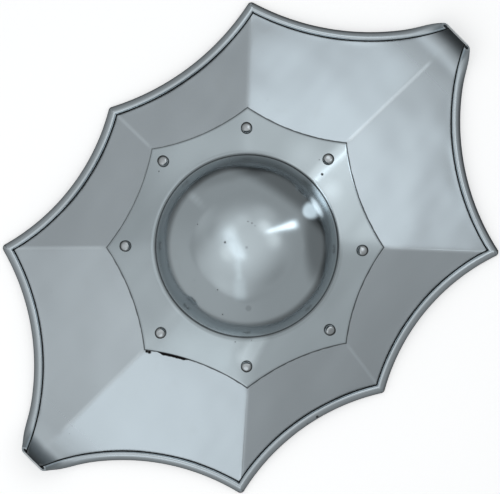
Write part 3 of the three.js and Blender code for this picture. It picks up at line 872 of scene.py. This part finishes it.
class Graph:
    """A small helper that builds one material's nodes."""

    def __init__(self, name):
        self.material = bpy.data.materials.new(name)
        self.material.use_nodes = True
        self.tree = self.material.node_tree
        self.shader = self.tree.nodes["Principled BSDF"]
        self.place = self.node("ShaderNodeTexCoord").outputs["Object"]

    @classmethod
    def of(cls, tree):
        """The same helper over a node tree that is there already."""
        graph = cls.__new__(cls)
        graph.tree = tree
        return graph

    def node(self, kind, **settings):
        made = self.tree.nodes.new(kind)
        for key, value in settings.items():
            setattr(made, key, value)
        return made

    def link(self, source, target):
        self.tree.links.new(source, target)

    def feed(self, sockets, values):
        """Sets each socket to a number or a color, or links it to another node's output."""
        for socket, value in zip(sockets, values):
            if isinstance(value, (int, float)):
                socket.default_value = value
            elif isinstance(value, tuple):
                socket.default_value = (*value, 1.0)
            else:
                self.link(value, socket)

    def mapped(self, scale, turn):
        made = self.node("ShaderNodeMapping")
        made.inputs["Scale"].default_value = scale
        made.inputs["Rotation"].default_value = turn
        self.link(self.place, made.inputs["Vector"])
        return made.outputs["Vector"]

    def noise(self, scale, detail=3.0, rough=0.5, vector=None):
        made = self.node("ShaderNodeTexNoise")
        made.inputs["Scale"].default_value = scale
        made.inputs["Detail"].default_value = detail
        made.inputs["Roughness"].default_value = rough
        self.link(vector or self.place, made.inputs["Vector"])
        return made.outputs["Fac"]

    def ranged(self, value, low, high, to_low, to_high, interpolation="LINEAR"):
        made = self.node("ShaderNodeMapRange", interpolation_type=interpolation)
        sockets = [made.inputs[key] for key in ("Value", "From Min", "From Max", "To Min", "To Max")]
        self.feed(sockets, (value, low, high, to_low, to_high))
        return made.outputs["Result"]

    def maths(self, operation, a, b):
        made = self.node("ShaderNodeMath", operation=operation)
        self.feed(made.inputs, (a, b))
        return made.outputs["Value"]

    def joined(self, operation, values):
        """One value out of many, taken two at a time."""
        return reduce(lambda a, b: self.maths(operation, a, b), values)

    def most(self, *values):
        return self.joined("MAXIMUM", values)

    def blend(self, factor, a, b):
        made = self.node("ShaderNodeMix", data_type="RGBA")
        self.feed((made.inputs[0], made.inputs[6], made.inputs[7]), (factor, a, b))
        return made.outputs[2]

    def between(self, operation, vector, fixed):
        """The dot product of a linked vector and a fixed one, or the distance between them."""
        made = self.node("ShaderNodeVectorMath", operation=operation)
        self.link(vector, made.inputs[0])
        made.inputs[1].default_value = fixed
        return made.outputs["Value"]

    def along(self):
        """The place along the shield's long axis, in metres."""
        parts = self.node("ShaderNodeSeparateXYZ")
        self.link(self.flat, parts.inputs[0])
        return parts.outputs["Y"]

    def away(self, point):
        """The distance from a point, seen from above, with both in millimetres."""
        metres = self.between("DISTANCE", self.flat, (point[0] * MM, point[1] * MM, 0))
        return self.maths("MULTIPLY", metres, 1 / MM)

    def spot(self, point, near, far, at_near, at_far):
        """A value that changes smoothly between two distances from a point."""
        return self.ranged(self.away(point), near, far, at_near, at_far, "SMOOTHSTEP")

    def inside(self, arcs):
        """How far a place lies inside an outline of hollowed arcs."""
        depths = [self.maths("SUBTRACT", self.away(centre), radius) for centre, radius in arcs]
        return self.joined("MINIMUM", depths)

    def nearest_rivet(self):
        return self.joined("MINIMUM", [self.away(polar(*corner["rivet"])) for corner in CORNERS])

    def band(self, value, limits, strength=1.0):
        """A strength between the two middle limits, and nothing before the first or past the last."""
        start, full, still, end = limits
        rising = self.ranged(value, start, full, 0.0, 1.0, "SMOOTHSTEP")
        falling = self.ranged(value, still, end, strength, 0.0, "SMOOTHSTEP")
        return self.maths("MULTIPLY", rising, falling)

    def glow(self, strength, color):
        emission = self.node("ShaderNodeEmission")
        emission.inputs["Color"].default_value = (*color, 1)
        self.link(strength, emission.inputs["Strength"])
        return emission.outputs["Emission"]

    def finish_with(self, surface):
        self.link(surface, self.tree.nodes["Material Output"].inputs["Surface"])


def flat_place(graph):
    """Places on the shield seen from above, about the boss's axis."""
    made = graph.node("ShaderNodeVectorMath", operation="MULTIPLY_ADD")
    made.inputs[1].default_value = (1, 1, 0)
    made.inputs[2].default_value = (-AXIS[0], -AXIS[1], 0)
    graph.link(graph.place, made.inputs[0])
    return made.outputs["Vector"]


SIDE_ARCS = [(side["centre"], side["radius"]) for side in SIDES]

# Noises: how many to a metre, detail and roughness
CLOUD_NOISE = (9.0, 3.0)
STAIN_NOISE = (46.0, 5.0, 0.6)
PIT_NOISE = (620.0, 1.0)
SCRATCH_NOISE = (1.0, 2.0, 0.6)
UNEVEN_NOISE = (160.0, 2.0)
RAGGED_NOISE = (520.0, 3.0, 0.7)

# Steel: cloudy tone, stains, pits, painted highlights, dirt with painted shade, and scratches. A range gives
# two levels of the noise and what they stand for.
COMMON_LEVELS = (0.3, 0.7)
CLOUD_SHADE = 0.95
CLOUD_ROUGHNESS = (-0.008, 0.012)
STAIN_RANGE = (0.58, 0.78, 0.0, 0.2)
PIT_RANGE = (0.81, 0.84, 0.0, 0.7)
PIT_COLOR = (0.08, 0.08, 0.08)
SCRATCH_LEVELS = (1.2, 1.9)
SCRATCH_ROUGHNESS = 0.02
# How much brighter paler places and painted highlights are
PALE_AND_HIGHLIGHT_GAIN = 1.45
# The colour of dirt and of painted shade, and the roughness that they add
DIRT_AND_SHADE_COLOR = (0.015, 0.014, 0.0135)
DIRT_AND_SHADE_ROUGHNESS = 0.3
SCRATCH_TURNS = (0.35, 1.25, 2.2)
SCRATCH_SCALE = (2600.0, 42.0, 42.0)
SCRATCH_BUMP = 0.006
SCRATCH_DEPTH = 0.0002


def steel(name, color, stained, roughness, scratches, dirt_and_shade=None, pale_and_highlights=None, rougher=None):
    """Satin steel: cloudy tone, faint stains, fine scratches in several directions and small dark pits."""
    graph = Graph(name)
    graph.flat = flat_place(graph)
    cloud = graph.ranged(graph.noise(*CLOUD_NOISE), *COMMON_LEVELS, 0.0, 1.0)
    stain = graph.ranged(graph.noise(*STAIN_NOISE), *STAIN_RANGE)
    tone = graph.blend(cloud, color, tuple(CLOUD_SHADE * c for c in color))
    tone = graph.blend(stain, tone, stained)
    tone = graph.blend(graph.ranged(graph.noise(*PIT_NOISE), *PIT_RANGE), tone, PIT_COLOR)
    # Painted highlights, and on the flange a paler tone as well
    if pale_and_highlights:
        tone = graph.blend(pale_and_highlights(graph), tone, tuple(min(1.0, PALE_AND_HIGHLIGHT_GAIN * c) for c in color))

    turned = [graph.mapped(SCRATCH_SCALE, (0, 0, turn)) for turn in SCRATCH_TURNS]
    hair = graph.joined("ADD", [graph.noise(*SCRATCH_NOISE, place) for place in turned])
    rough = graph.ranged(cloud, 0.0, 1.0, *(roughness + change for change in CLOUD_ROUGHNESS))
    scratched = graph.ranged(hair, *SCRATCH_LEVELS, 0.0, SCRATCH_ROUGHNESS * scratches)
    rough = graph.maths("ADD", rough, scratched)
    if rougher:
        rough = graph.maths("ADD", rough, rougher(graph))
    # Dirt and small flaws, with painted shade, painted dark reflections and a painted shadow
    if dirt_and_shade:
        mask = dirt_and_shade(graph)
        tone = graph.blend(mask, tone, DIRT_AND_SHADE_COLOR)
        rough = graph.maths("ADD", rough, graph.maths("MULTIPLY", mask, DIRT_AND_SHADE_ROUGHNESS))
    graph.link(tone, graph.shader.inputs["Base Color"])
    graph.link(rough, graph.shader.inputs["Roughness"])
    graph.shader.inputs["Metallic"].default_value = 1.0

    bump = graph.node("ShaderNodeBump")
    bump.inputs["Strength"].default_value = SCRATCH_BUMP * scratches
    bump.inputs["Distance"].default_value = SCRATCH_DEPTH
    graph.link(hair, bump.inputs["Height"])
    graph.link(bump.outputs["Normal"], graph.shader.inputs["Normal"])
    return graph.material


# How strong the painted highlight along each ridge is, in the order of the corners
RIDGE_HIGHLIGHT = [0.3, 0.4, 0.85, 0.2, 0.4, 0.4, 0.4, 0.3]
# In millimetres: half the painted highlight's width, how far out it runs, and where it fades about the end
# of a stretch
HIGHLIGHT_HALF_WIDTH = 2.5
HIGHLIGHT_REACH = 0.97 * BEND_START
HIGHLIGHT_FADE = (6.0, 1.0)

# Small flaws, by the pixel of the photo that shows them: place, radius in millimetres and strength
PLATE_SPECKS = [((336.0, 180.4), 0.8, 0.8), ((343.5, 234.0), 0.5, 0.5), ((146.4, 350.6), 1.2, 1.0),
                ((149.0, 351.3), 1.4, 1.0), ((317.0, 416.8), 1.1, 0.9), ((307.0, 424.0), 0.8, 0.6)]
BOSS_SPECKS = [((321.8, 173.7), 1.0, 0.9), ((319.0, 159.0), 0.5, 0.5), ((158.0, 170.5), 0.7, 0.6),
               ((234.7, 341.6), 0.6, 0.5), ((251.0, 340.0), 0.6, 0.5)]
DOME_SPECKS = [((224.6, 241.8), 0.9, 0.7), ((197.0, 223.7), 0.5, 0.6), ((217.0, 289.4), 0.6, 0.6),
               ((222.0, 314.3), 0.6, 0.6), ((247.5, 221.0), 0.6, 0.35), ((251.5, 222.6), 0.7, 0.35),
               ((254.6, 225.4), 0.5, 0.3), ((246.2, 247.0), 1.1, 0.25), ((248.0, 308.0), 2.2, 0.2)]
# Painted highlights on the flange and on the dome's side, with the same columns
FLANGE_HIGHLIGHTS = [((259.0, 338.0), 10.0, 0.9), ((253.0, 347.0), 11.0, 1.0), ((247.0, 358.0), 12.0, 1.0),
          ((303.0, 154.0), 24.0, 0.4), ((330.0, 190.0), 14.0, 0.5), ((185.0, 343.0), 22.0, 0.2)]
DOME_HIGHLIGHTS = [((190.0, 193.5), 5.5, 0.35), ((193.0, 196.5), 5.5, 0.45), ((196.0, 199.5), 5.5, 0.4),
               ((199.0, 202.5), 5.5, 0.3), ((202.0, 205.5), 5.0, 0.15)]
SPECK_EDGE = (0.7, 1.4)

# The painted shadow where the flange stands off the plate at the lower left: its ends in pixels, where it
# narrows and closes as shares of its half length, its width in millimetres while it is open and when closed,
# how much its edge wanders, and how soft its edge is
SLIVER_ENDS = ((155.6, 350.4), (190.5, 359.4))
SLIVER_NARROWS = 0.6
SLIVER_CLOSES = 1.12
SLIVER_WIDTHS = (2.3, -0.6)
SLIVER_WANDER = 0.4
SLIVER_EDGE = 0.3

# Bands, in millimetres: where each starts, is full, is full no more and ends. The plate's run inward from
# the bead's centre line and from the star's edge, and the boss's run outward from the axis.
# Painted shade with some grime in the crease behind the rolled edge
CREASE_SHADE = (3.25, 3.55, 4.1, 4.7)
# A painted highlight on the bead beside its crease
BEAD_HIGHLIGHT = (1.6, 2.5, 3.0, 3.5)
# Painted shade along the star flange's edge on the plate
SEAM_SHADE = (-0.95, -0.3, 1.0, 2.0)
# Painted shade and dark reflection round the dome's foot
FOOT_SHADE = [((72.6, 74.1, 74.5, 76.4), 0.78), ((60.6, 64.6, 73.5, 75.0), 0.2),
              ((66.0, 73.0, 73.8, 75.2), 0.36)]
# A painted darker band at one side of the dome's foot, and painted shade just outside the foot
SHADED_BAND = (64.0, 69.0, 73.8, 75.2)
OUTER_FOOT_SHADE_BAND = (74.0, 75.0, 76.4, 79.5)

# Two distances in millimetres, and the strengths at them
# Most of these shape painted shade: along the seam, outside the bead, by the dome's foot, on one side of the
# flange, round the rivets, at the flange's edge and on the rivets' shoulders
SEAM_SHADE_SIDE = (40.0, 130.0, 0.3, 0.75)
OUTER_BEAD_SHADE = (-3.2, 0.4, 0.34, 0.0)
BEAD_END = (3.0, 3.8, 0.25, 1.0)
SHADED_SPREAD = (30.0, 85.0, 0.55, 0.0)
OUTER_FOOT_SHADE_SPREAD = (28.0, 62.0, 0.0, 0.3)
SHADED_FLANGE_SPREAD = (35.0, 115.0, 0.26, 0.0)
RIVET_RING_SHADE = (4.5, 5.0, 0.85, 0.0)
STAR_EDGE_SHADE = (0.0, 0.9, 0.8, 0.0)
SHADED_FLANGE_START = (75.0, 79.0, 0.0, 1.0)
FLANGE_SATIN = (74.0, 80.0, 0.0, 0.045)
FLANGE_PALER = (75.0, 79.0, 0.0, 0.2)
FLANGE_START = (74.5, 76.0, 0.0, 1.0)
SHOULDER_SHADE = (3.1, 4.4, 0.0, 0.85)

# The same for the long ends, with the distances in metres along the shield
# Painted dark reflection in the turned-up ends
END_SHADE = (0.224, 0.244, 0.0, 0.88)
END_SATIN = (0.2, 0.226, 0.0, 0.16)
LONGER_END = 0.007

# How far the edge of the painted shade wanders, in millimetres, and the share of that beside the bead
WANDER = 0.25
WANDER_AT_BEAD = 0.25

# Where tones and painted shade change: bearing, and distance from the axis in millimetres
AXIS_POINT = (0.0, 0.0)
LIT_SEAM = polar(135 + PHOTO_TURN, STAR_REACH)
SHADED_FLANGE_SIDE = polar(188 + PHOTO_TURN, 95)
SHADED_SIDE = polar(65 + PHOTO_TURN, 72)
LIT_SIDE = polar(38 + PHOTO_TURN, 77)


def ridge_highlights(graph):
    """The painted highlight along each ridge's crest."""
    crests_there = []
    for ridge, ridge_highlight in zip(RIDGES, RIDGE_HIGHLIGHT):
        foot = ridge["foot"] * min(1.0, HIGHLIGHT_REACH / np.linalg.norm(ridge["foot"]))
        for start, stop in ((np.zeros(2), ridge["star"]), (ridge["star"], foot)):
            way = (stop - start) / np.linalg.norm(stop - start)
            middle = (start + stop) / 2
            metres = graph.between("DOT_PRODUCT", graph.flat, (*aside(way), 0))
            offset = graph.maths("MULTIPLY", metres, 1 / MM)
            across = graph.maths("SUBTRACT", offset, float(aside(way) @ middle))
            half = float(np.linalg.norm(stop - start)) / 2
            reach = graph.ranged(graph.away(middle), half - HIGHLIGHT_FADE[0], half + HIGHLIGHT_FADE[1], ridge_highlight, 0.0)
            beside = graph.maths("ABSOLUTE", across, 0.0)
            crest = graph.ranged(beside, 0.0, HIGHLIGHT_HALF_WIDTH, 1.0, 0.0, "SMOOTHSTEP")
            crests_there.append(graph.maths("MULTIPLY", crest, reach))
    return graph.most(*crests_there)


def ridge_and_bead_highlights(graph):
    """Painted highlights along the ridges, and on the bead beside its crease."""
    return graph.most(ridge_highlights(graph), graph.band(graph.inside(SIDE_ARCS), BEAD_HIGHLIGHT))


def specks(graph, places, height):
    """Small round flaws, each soft at its edge."""
    for pixel, radius, strength in places:
        beside = graph.away(at_pixel(*pixel, height))
        yield graph.ranged(beside, *(share * radius for share in SPECK_EDGE), strength, 0.0)


def highlight_spots(graph, places, height):
    """Round painted highlights, strongest in their middle."""
    for pixel, radius, strength in places:
        yield graph.spot(at_pixel(*pixel, height), 0.0, radius, strength, 0.0)


def unevenness(graph):
    return graph.ranged(graph.noise(*UNEVEN_NOISE), *COMMON_LEVELS, -WANDER, WANDER)


def gap_shadow(graph, star):
    """A painted shadow at the lower left, where the flange stands off the plate."""
    start, stop = at_pixel(*SLIVER_ENDS[0]), at_pixel(*SLIVER_ENDS[1])
    half = float(np.linalg.norm(stop - start)) / 2
    beside = graph.away((start + stop) / 2)
    width = graph.ranged(beside, SLIVER_NARROWS * half, SLIVER_CLOSES * half, *SLIVER_WIDTHS)
    ragged = graph.ranged(graph.noise(*RAGGED_NOISE), *COMMON_LEVELS, -SLIVER_WANDER, SLIVER_WANDER)
    return graph.ranged(graph.joined("ADD", (width, ragged, star)), 0.0, SLIVER_EDGE, 0.0, 1.0)


def plate_dirt_and_shade(graph):
    """Painted shade with some grime in the crease behind the rolled edge, painted shade round the star
    flange, painted dark reflections in the turned-up ends and on the bead's outer side, a painted shadow,
    and small flaws.
    """
    uneven = unevenness(graph)
    rim = graph.maths("ADD", graph.inside(SIDE_ARCS), graph.maths("MULTIPLY", uneven, WANDER_AT_BEAD))
    star = graph.inside(STAR_ARCS)
    # Painted shade round the star flange, weaker on its lit side
    seam = graph.band(graph.maths("ADD", star, uneven), SEAM_SHADE)
    seam = graph.maths("MULTIPLY", seam, graph.ranged(graph.away(LIT_SEAM), *SEAM_SHADE_SIDE))
    # Painted dark reflection in the turned-up ends, less on the bead
    opposite = graph.maths("SUBTRACT", graph.maths("MULTIPLY", graph.along(), -1.0), LONGER_END)
    ends = graph.ranged(graph.most(graph.along(), opposite), *END_SHADE, "SMOOTHSTEP")
    ends = graph.maths("MULTIPLY", ends, graph.ranged(rim, *BEAD_END))
    # Painted dark reflection on the bead's outer side
    outer = graph.ranged(rim, *OUTER_BEAD_SHADE, "SMOOTHSTEP")
    flaws = specks(graph, PLATE_SPECKS, PLATE_LEVEL)
    return graph.most(graph.band(rim, CREASE_SHADE), seam, ends, outer, gap_shadow(graph, star), *flaws)


def boss_dirt_and_shade(graph):
    """Painted shade and dark reflection round the dome's foot and just outside it, painted shade round each
    rivet, at the flange's edge and on one side of the flange, and small flaws.
    """
    reach = graph.away(AXIS_POINT)
    # Painted shade and dark reflection round the dome's foot
    foot = [graph.band(reach, limits, strength) for limits, strength in FOOT_SHADE]
    # A painted darker band at one side of the dome's foot
    shaded = graph.maths("MULTIPLY", graph.spot(SHADED_SIDE, *SHADED_SPREAD), graph.band(reach, SHADED_BAND))
    # Painted shade just outside the dome's foot, except on its lit side
    outer_foot_shade = graph.maths("MULTIPLY", graph.spot(LIT_SIDE, *OUTER_FOOT_SHADE_SPREAD), graph.band(reach, OUTER_FOOT_SHADE_BAND))
    # Painted shade round each rivet
    rivet_shade = graph.ranged(graph.nearest_rivet(), *RIVET_RING_SHADE, "SMOOTHSTEP")
    # Painted shade at the flange's edge
    edge = graph.ranged(graph.inside(STAR_ARCS), *STAR_EDGE_SHADE, "SMOOTHSTEP")
    # A painted darker side of the flange
    wandering = graph.maths("ADD", reach, unevenness(graph))
    flange_shade = graph.maths("MULTIPLY", graph.spot(SHADED_FLANGE_SIDE, *SHADED_FLANGE_SPREAD), graph.ranged(wandering, *SHADED_FLANGE_START))
    flaws = [*specks(graph, BOSS_SPECKS, FLANGE_LEVEL), *specks(graph, DOME_SPECKS, DOME_TOP_LEVEL)]
    return graph.most(*foot, shaded, outer_foot_shade, rivet_shade, edge, flange_shade, *flaws)


def rivet_shoulder_shade(graph):
    """Painted shade on the steep shoulders of the rivets."""
    return graph.ranged(graph.nearest_rivet(), *SHOULDER_SHADE, "SMOOTHSTEP")


def flange_satin(graph):
    """The flange is less polished than the dome."""
    return graph.spot(AXIS_POINT, *FLANGE_SATIN)


def flange_tone_and_highlights(graph):
    """The flange is a little paler than the dome, with painted highlights on the flange and on one side of
    the dome.
    """
    pale = [graph.spot(AXIS_POINT, *FLANGE_PALER), *highlight_spots(graph, FLANGE_HIGHLIGHTS, FLANGE_LEVEL)]
    paler = graph.joined("ADD", pale)
    paler = graph.maths("MULTIPLY", paler, graph.ranged(graph.away(AXIS_POINT), *FLANGE_START))
    return graph.most(paler, *highlight_spots(graph, DOME_HIGHLIGHTS, DOME_SIDE_LEVEL))


def bend_satin(graph):
    """The turned-up ends are less polished than the plate."""
    return graph.ranged(graph.maths("ABSOLUTE", graph.along(), 0.0), *END_SATIN, "SMOOTHSTEP")


plate.data.materials.append(steel(
    "plate_steel", color=(0.53, 0.585, 0.618), stained=(0.44, 0.47, 0.48), roughness=0.25, scratches=0.4,
    dirt_and_shade=plate_dirt_and_shade, pale_and_highlights=ridge_and_bead_highlights, rougher=bend_satin))
plate.data.materials.append(steel(
    "cut_steel", color=(0.72, 0.76, 0.78), stained=(0.5, 0.5, 0.5), roughness=0.3, scratches=1.0))
boss.data.materials.append(steel(
    "boss_steel", color=(0.572, 0.645, 0.68), stained=(0.48, 0.52, 0.53), roughness=0.13, scratches=0.5,
    dirt_and_shade=boss_dirt_and_shade, pale_and_highlights=flange_tone_and_highlights, rougher=flange_satin))
rivet_material = steel(
    "rivet_steel", color=(0.50, 0.53, 0.545), stained=(0.3, 0.3, 0.3), roughness=0.15, scratches=2.0,
    dirt_and_shade=rivet_shoulder_shade)
for rivet in rivets:
    rivet.data.materials.append(rivet_material)
grip.data.materials.append(steel(
    "grip_steel", color=(0.42, 0.43, 0.44), stained=(0.25, 0.24, 0.23), roughness=0.36, scratches=1.5))


# The floor, the light and the camera
ROOM_COLOR = (0.97, 0.99, 1.0)
LAMP_COLOR = (0.90, 0.98, 1.04)
WORLD_STRENGTH = 0.42
DARKEST_ROOM = 0.02
FLOOR_HALF = 4.0
FLOOR_COLOR = (0.9, 0.9, 0.9)
FLOOR_ROUGHNESS = 0.9
FLOOR_GLOW = 0.5
CEILING_HALF = 1.1
CEILING_HEIGHT = 0.55
CEILING_BASE = 0.41
LAMP_DROP = 0.01
STREAK_DROP = 0.012
STREAK_ROWS = 25
STREAK_COLUMNS = 13
STREAK_FADE = 0.22
STREAK_EDGE = 1.25
FLATTEST_MIRROR = 1.4
# Each pool of light: bearing in the photo, distance from the middle and half width in metres, strength
LIGHT_POOLS = [
    (0, 0.0, 1.1, 0.08),
    (200, 0.05, 0.75, 0.32),
    (200, 0.22, 0.15, 0.22),
    (46, 0.29, 0.15, 0.38),
    (15, 0.32, 0.18, 0.30),
    (100, 0.30, 0.14, 0.10),
    (135, 0.24, 0.14, 0.12),
    (212, 0.75, 0.62, 0.20),
    (60, 0.50, 0.30, 0.12),
    (155, 0.46, 0.22, -0.10),
    (250, 0.80, 0.55, 0.26),
    (150, 0.95, 0.55, 0.12),
    (315, 0.42, 0.42, -0.12),
]
# Each lamp for the plate: bearing, distance from the middle, radius and radiance
PLATE_LAMPS = [
    (13, 0.355, 0.11, 0.60),
    (76, 0.36, 0.12, 0.70),
    (256, 0.45, 0.15, 0.56),
    (194, 0.37, 0.11, 0.08),
]
# The strip lights that the boss shows, by the pixels where the photo shows each streak: its two ends, its
# half width at each end in pixels and its radiance at each end
STREAKS = [
    ((262.0, 232.5), (300.0, 222.0), (1.8, 6.5), (0.9, 2.6)),
    ((224.0, 225.0), (243.5, 263.0), (11.0, 8.0), (0.35, 0.62)),
    ((218.0, 219.0), (246.0, 270.0), (18.0, 14.0), (0.07, 0.10)),
    ((236.5, 258.0), (239.0, 282.0), (4.5, 5.5), (0.3, 0.26)),
    ((238.0, 276.0), (240.5, 303.0), (9.0, 9.0), (0.22, 0.16)),
]
# The two cards beside the dome that show as the bright patch at its right, one upright and one lying:
# bearing, distance from the axis, height of the middle, width, length, turn about the width, radiance
CARDS = [
    (29.0, 0.150, 0.058, 0.030, 0.060, 90.0, 0.85),
    (29.0, 0.130, 0.034, 0.030, 0.044, 180.0, 1.2),
]
# The layers of each card, from wide to small, by share of its size and of its radiance, and the step between
CARD_LAYERS = ((1.3, 0.25), (1.15, 0.35), (1.0, 0.35), (0.85, 0.25))
CARD_STEP = 0.002
# Each change of the room's level: bearing and elevation of its middle, the cosines of the angles from there
# at which it begins and is full, and its strength
ROOM_PARTS = [
    (0, -90, 0.25, 0.6, -0.32),
    (55, -26, 0.68, 0.9, -0.24),
    (105, -28, 0.82, 0.95, -0.10),
    (4, -12, 0.80, 0.95, -0.21),
    (220, 5, 0.3, 1.0, 0.08),
]


def panel(name, half, height, turned_down=False):
    """A level square sheet over or under the shield."""
    corners = [(-half, -half, height), (half, -half, height), (half, half, height), (-half, half, height)]
    made = bpy.data.meshes.new(name)
    made.from_pydata(corners, [], [(0, 3, 2, 1) if turned_down else (0, 1, 2, 3)])
    return added(name, made)


def photo_place(bearing, reach):
    """The place, in metres, at a bearing in the photo and a distance from the frame's middle."""
    return polar(bearing + PHOTO_TURN, reach)


def make_floor():
    floor = panel("floor", FLOOR_HALF, 0)
    paint = Graph("pale_floor")
    shader = paint.shader.inputs
    shader["Base Color"].default_value = (*FLOOR_COLOR, 1)
    shader["Roughness"].default_value = FLOOR_ROUGHNESS
    shader["Emission Color"].default_value = (1, 1, 1, 1)
    shader["Emission Strength"].default_value = FLOOR_GLOW
    floor.visible_glossy = False
    floor.data.materials.append(paint.material)


def make_world():
    """An even room, dimmer under the horizon and on the side where the photo's reflections are darkest."""
    world = bpy.data.worlds.new("studio")
    bpy.context.scene.world = world
    world.use_nodes = True
    graph = Graph.of(world.node_tree)
    view = graph.node("ShaderNodeTexCoord").outputs["Generated"]
    parts = []
    for bearing, elevation, begins, full, change in ROOM_PARTS:
        lift = math.radians(elevation)
        way = photo_place(bearing, math.cos(lift))
        facing = graph.between("DOT_PRODUCT", view, (*way, math.sin(lift)))
        parts.append(graph.ranged(facing, begins, full, 0.0, change, "SMOOTHSTEP"))
    level = graph.most(graph.maths("ADD", graph.joined("ADD", parts), WORLD_STRENGTH), DARKEST_ROOM)
    background = world.node_tree.nodes["Background"]
    background.inputs["Color"].default_value = (*ROOM_COLOR, 1)
    graph.link(level, background.inputs["Strength"])


def make_ceiling():
    """A glowing panel over the shield: soft pools of light that fade into an even, dimmer glow."""
    ceiling = panel("ceiling_light", CEILING_HALF, CEILING_HEIGHT, turned_down=True)
    ceiling.visible_camera = False
    graph = Graph("ceiling_glow")
    pools = []
    for bearing, reach, width, strength in LIGHT_POOLS:
        centre = photo_place(bearing, reach) + AXIS[:2]
        away = graph.between("DISTANCE", graph.place, (*centre, CEILING_HEIGHT))
        pools.append(graph.ranged(away, 0.0, width, strength, 0.0, "SMOOTHERSTEP"))
    level = graph.most(graph.maths("ADD", graph.joined("ADD", pools), CEILING_BASE), 0.0)
    graph.finish_with(graph.glow(level, ROOM_COLOR))
    ceiling.data.materials.append(graph.material)


def oval_light(name, where, turn, width, length, radiance, only):
    """An oval area light with a radiance over its whole face, which falls on some pieces alone."""
    light = bpy.data.lights.new(name, "AREA")
    light.shape = "ELLIPSE"
    light.size = width
    light.size_y = length
    light.energy = radiance * math.pi ** 2 * width * length / 4
    light.color = LAMP_COLOR
    made = added(name, light)
    made.location = where
    made.rotation_euler = turn
    made.visible_camera = False
    made.light_linking.receiver_collection = only


def make_plate_lamps(only):
    """Round lights that look straight down."""
    for number, (bearing, reach, radius, radiance) in enumerate(PLATE_LAMPS):
        where = (*photo_place(bearing, reach), CEILING_HEIGHT - LAMP_DROP)
        oval_light(f"plate_lamp_{number + 1}", where, (0, 0, 0), 2 * radius, 2 * radius, radiance, only)


def make_cards(only):
    """Lights beside the dome, each a small one over wider ones, so that the edge is soft."""
    number = 0
    for bearing, away, height, width, length, turn, radiance in CARDS:
        facing = (math.radians(turn), 0, math.radians(bearing + PHOTO_TURN) + math.pi / 2)
        for layer, (scale, share) in enumerate(CARD_LAYERS):
            number += 1
            step = layer * CARD_STEP
            where = (*(photo_place(bearing, away - step) + AXIS[:2]), height + step)
            size = (scale * width, scale * length)
            oval_light(f"card_{number}", where, facing, *size, share * radiance, only)


def mirrored(pixel):
    """The place on the ceiling, in metres, that the dome mirrors to the camera at a photo pixel."""
    flat = at_pixel(*pixel, DOME_TOP_LEVEL)
    reach = np.linalg.norm(flat)
    rise = math.sqrt(max(1e-6, 1 - (reach / DOME_RADIUS) ** 2))
    lean = math.atan(BOSS_RISE * reach / (DOME_RADIUS ** 2 * rise))
    drop = CEILING_HEIGHT - STREAK_DROP - MM * (DOME_FOOT + BOSS_RISE * rise)
    away = MM * reach + drop * math.tan(min(2 * lean, FLATTEST_MIRROR))
    return flat / max(reach, 1e-6) * away + AXIS[:2]


def make_streak(number, start, stop, widths, levels, only):
    """A strip light, brightest along its middle and fading to its edges, that one piece alone shows."""
    start, stop = np.array(start), np.array(stop)
    way = (stop - start) / np.linalg.norm(stop - start)
    across = np.array([-way[1], way[0]])
    points, levels_there, quads = [], [], []
    for row, t in enumerate(np.linspace(0, 1, STREAK_ROWS)):
        ending = float(smooth(min(t, 1 - t) / STREAK_FADE))
        for column, u in enumerate(np.linspace(-1, 1, STREAK_COLUMNS)):
            pixel = mix(start, stop, t) + across * u * mix(*widths, t)
            points.append((*mirrored(pixel), CEILING_HEIGHT - STREAK_DROP))
            levels_there.append(mix(*levels, t) * ending * float(smooth(STREAK_EDGE * (1 - abs(u)))))
            if row and column:
                corner = row * STREAK_COLUMNS + column
                quads.append((corner, corner - 1, corner - 1 - STREAK_COLUMNS, corner - STREAK_COLUMNS))
    made = bpy.data.meshes.new(f"streak_{number}")
    made.from_pydata(points, [], quads)
    level = made.attributes.new("level", "FLOAT", "POINT")
    level.data.foreach_set("value", levels_there)
    strip = added(f"streak_{number}", made)
    strip.visible_camera = False
    strip.visible_shadow = False
    strip.light_linking.receiver_collection = only
    graph = Graph(f"streak_glow_{number}")
    read = graph.node("ShaderNodeAttribute", attribute_name="level")
    both = graph.node("ShaderNodeAddShader")
    graph.link(graph.glow(read.outputs["Fac"], LAMP_COLOR), both.inputs[0])
    graph.link(graph.node("ShaderNodeBsdfTransparent").outputs["BSDF"], both.inputs[1])
    graph.finish_with(both.outputs["Shader"])
    made.materials.append(graph.material)


def lit_together(name, pieces):
    """A collection of pieces that some lights fall on alone."""
    made = bpy.data.collections.new(name)
    for piece in pieces:
        made.objects.link(piece)
    return made


make_floor()
make_world()
make_ceiling()
make_plate_lamps(lit_together("plate_and_rivets", [plate, grip] + rivets))
boss_alone = lit_together("boss_alone", [boss])
make_cards(boss_alone)
for number, streak in enumerate(STREAKS):
    make_streak(number + 1, *streak, boss_alone)

# The camera looks straight down, turned so that the long axis lies across the frame as in the photo
LOOK_HEIGHT = 0.02
SENSOR = 36.0
picture_middle = at_pixel(PHOTO_SIZE[0] / 2 - 0.5, PHOTO_SIZE[1] / 2 - 0.5)
camera_data = bpy.data.cameras.new("camera")
camera_data.sensor_width = SENSOR
camera_data.lens = SENSOR * CAMERA_DISTANCE / (PHOTO_SIZE[0] * MM_PER_PIXEL * MM)
camera_data.clip_end = 20
camera = added("camera", camera_data)
camera.location = (*(AXIS[:2] + picture_middle * MM), LOOK_HEIGHT + CAMERA_DISTANCE)
camera.rotation_euler = (0, 0, math.radians(PHOTO_TURN))
bpy.context.scene.camera = camera
bpy.context.scene.view_settings.view_transform = "Standard"
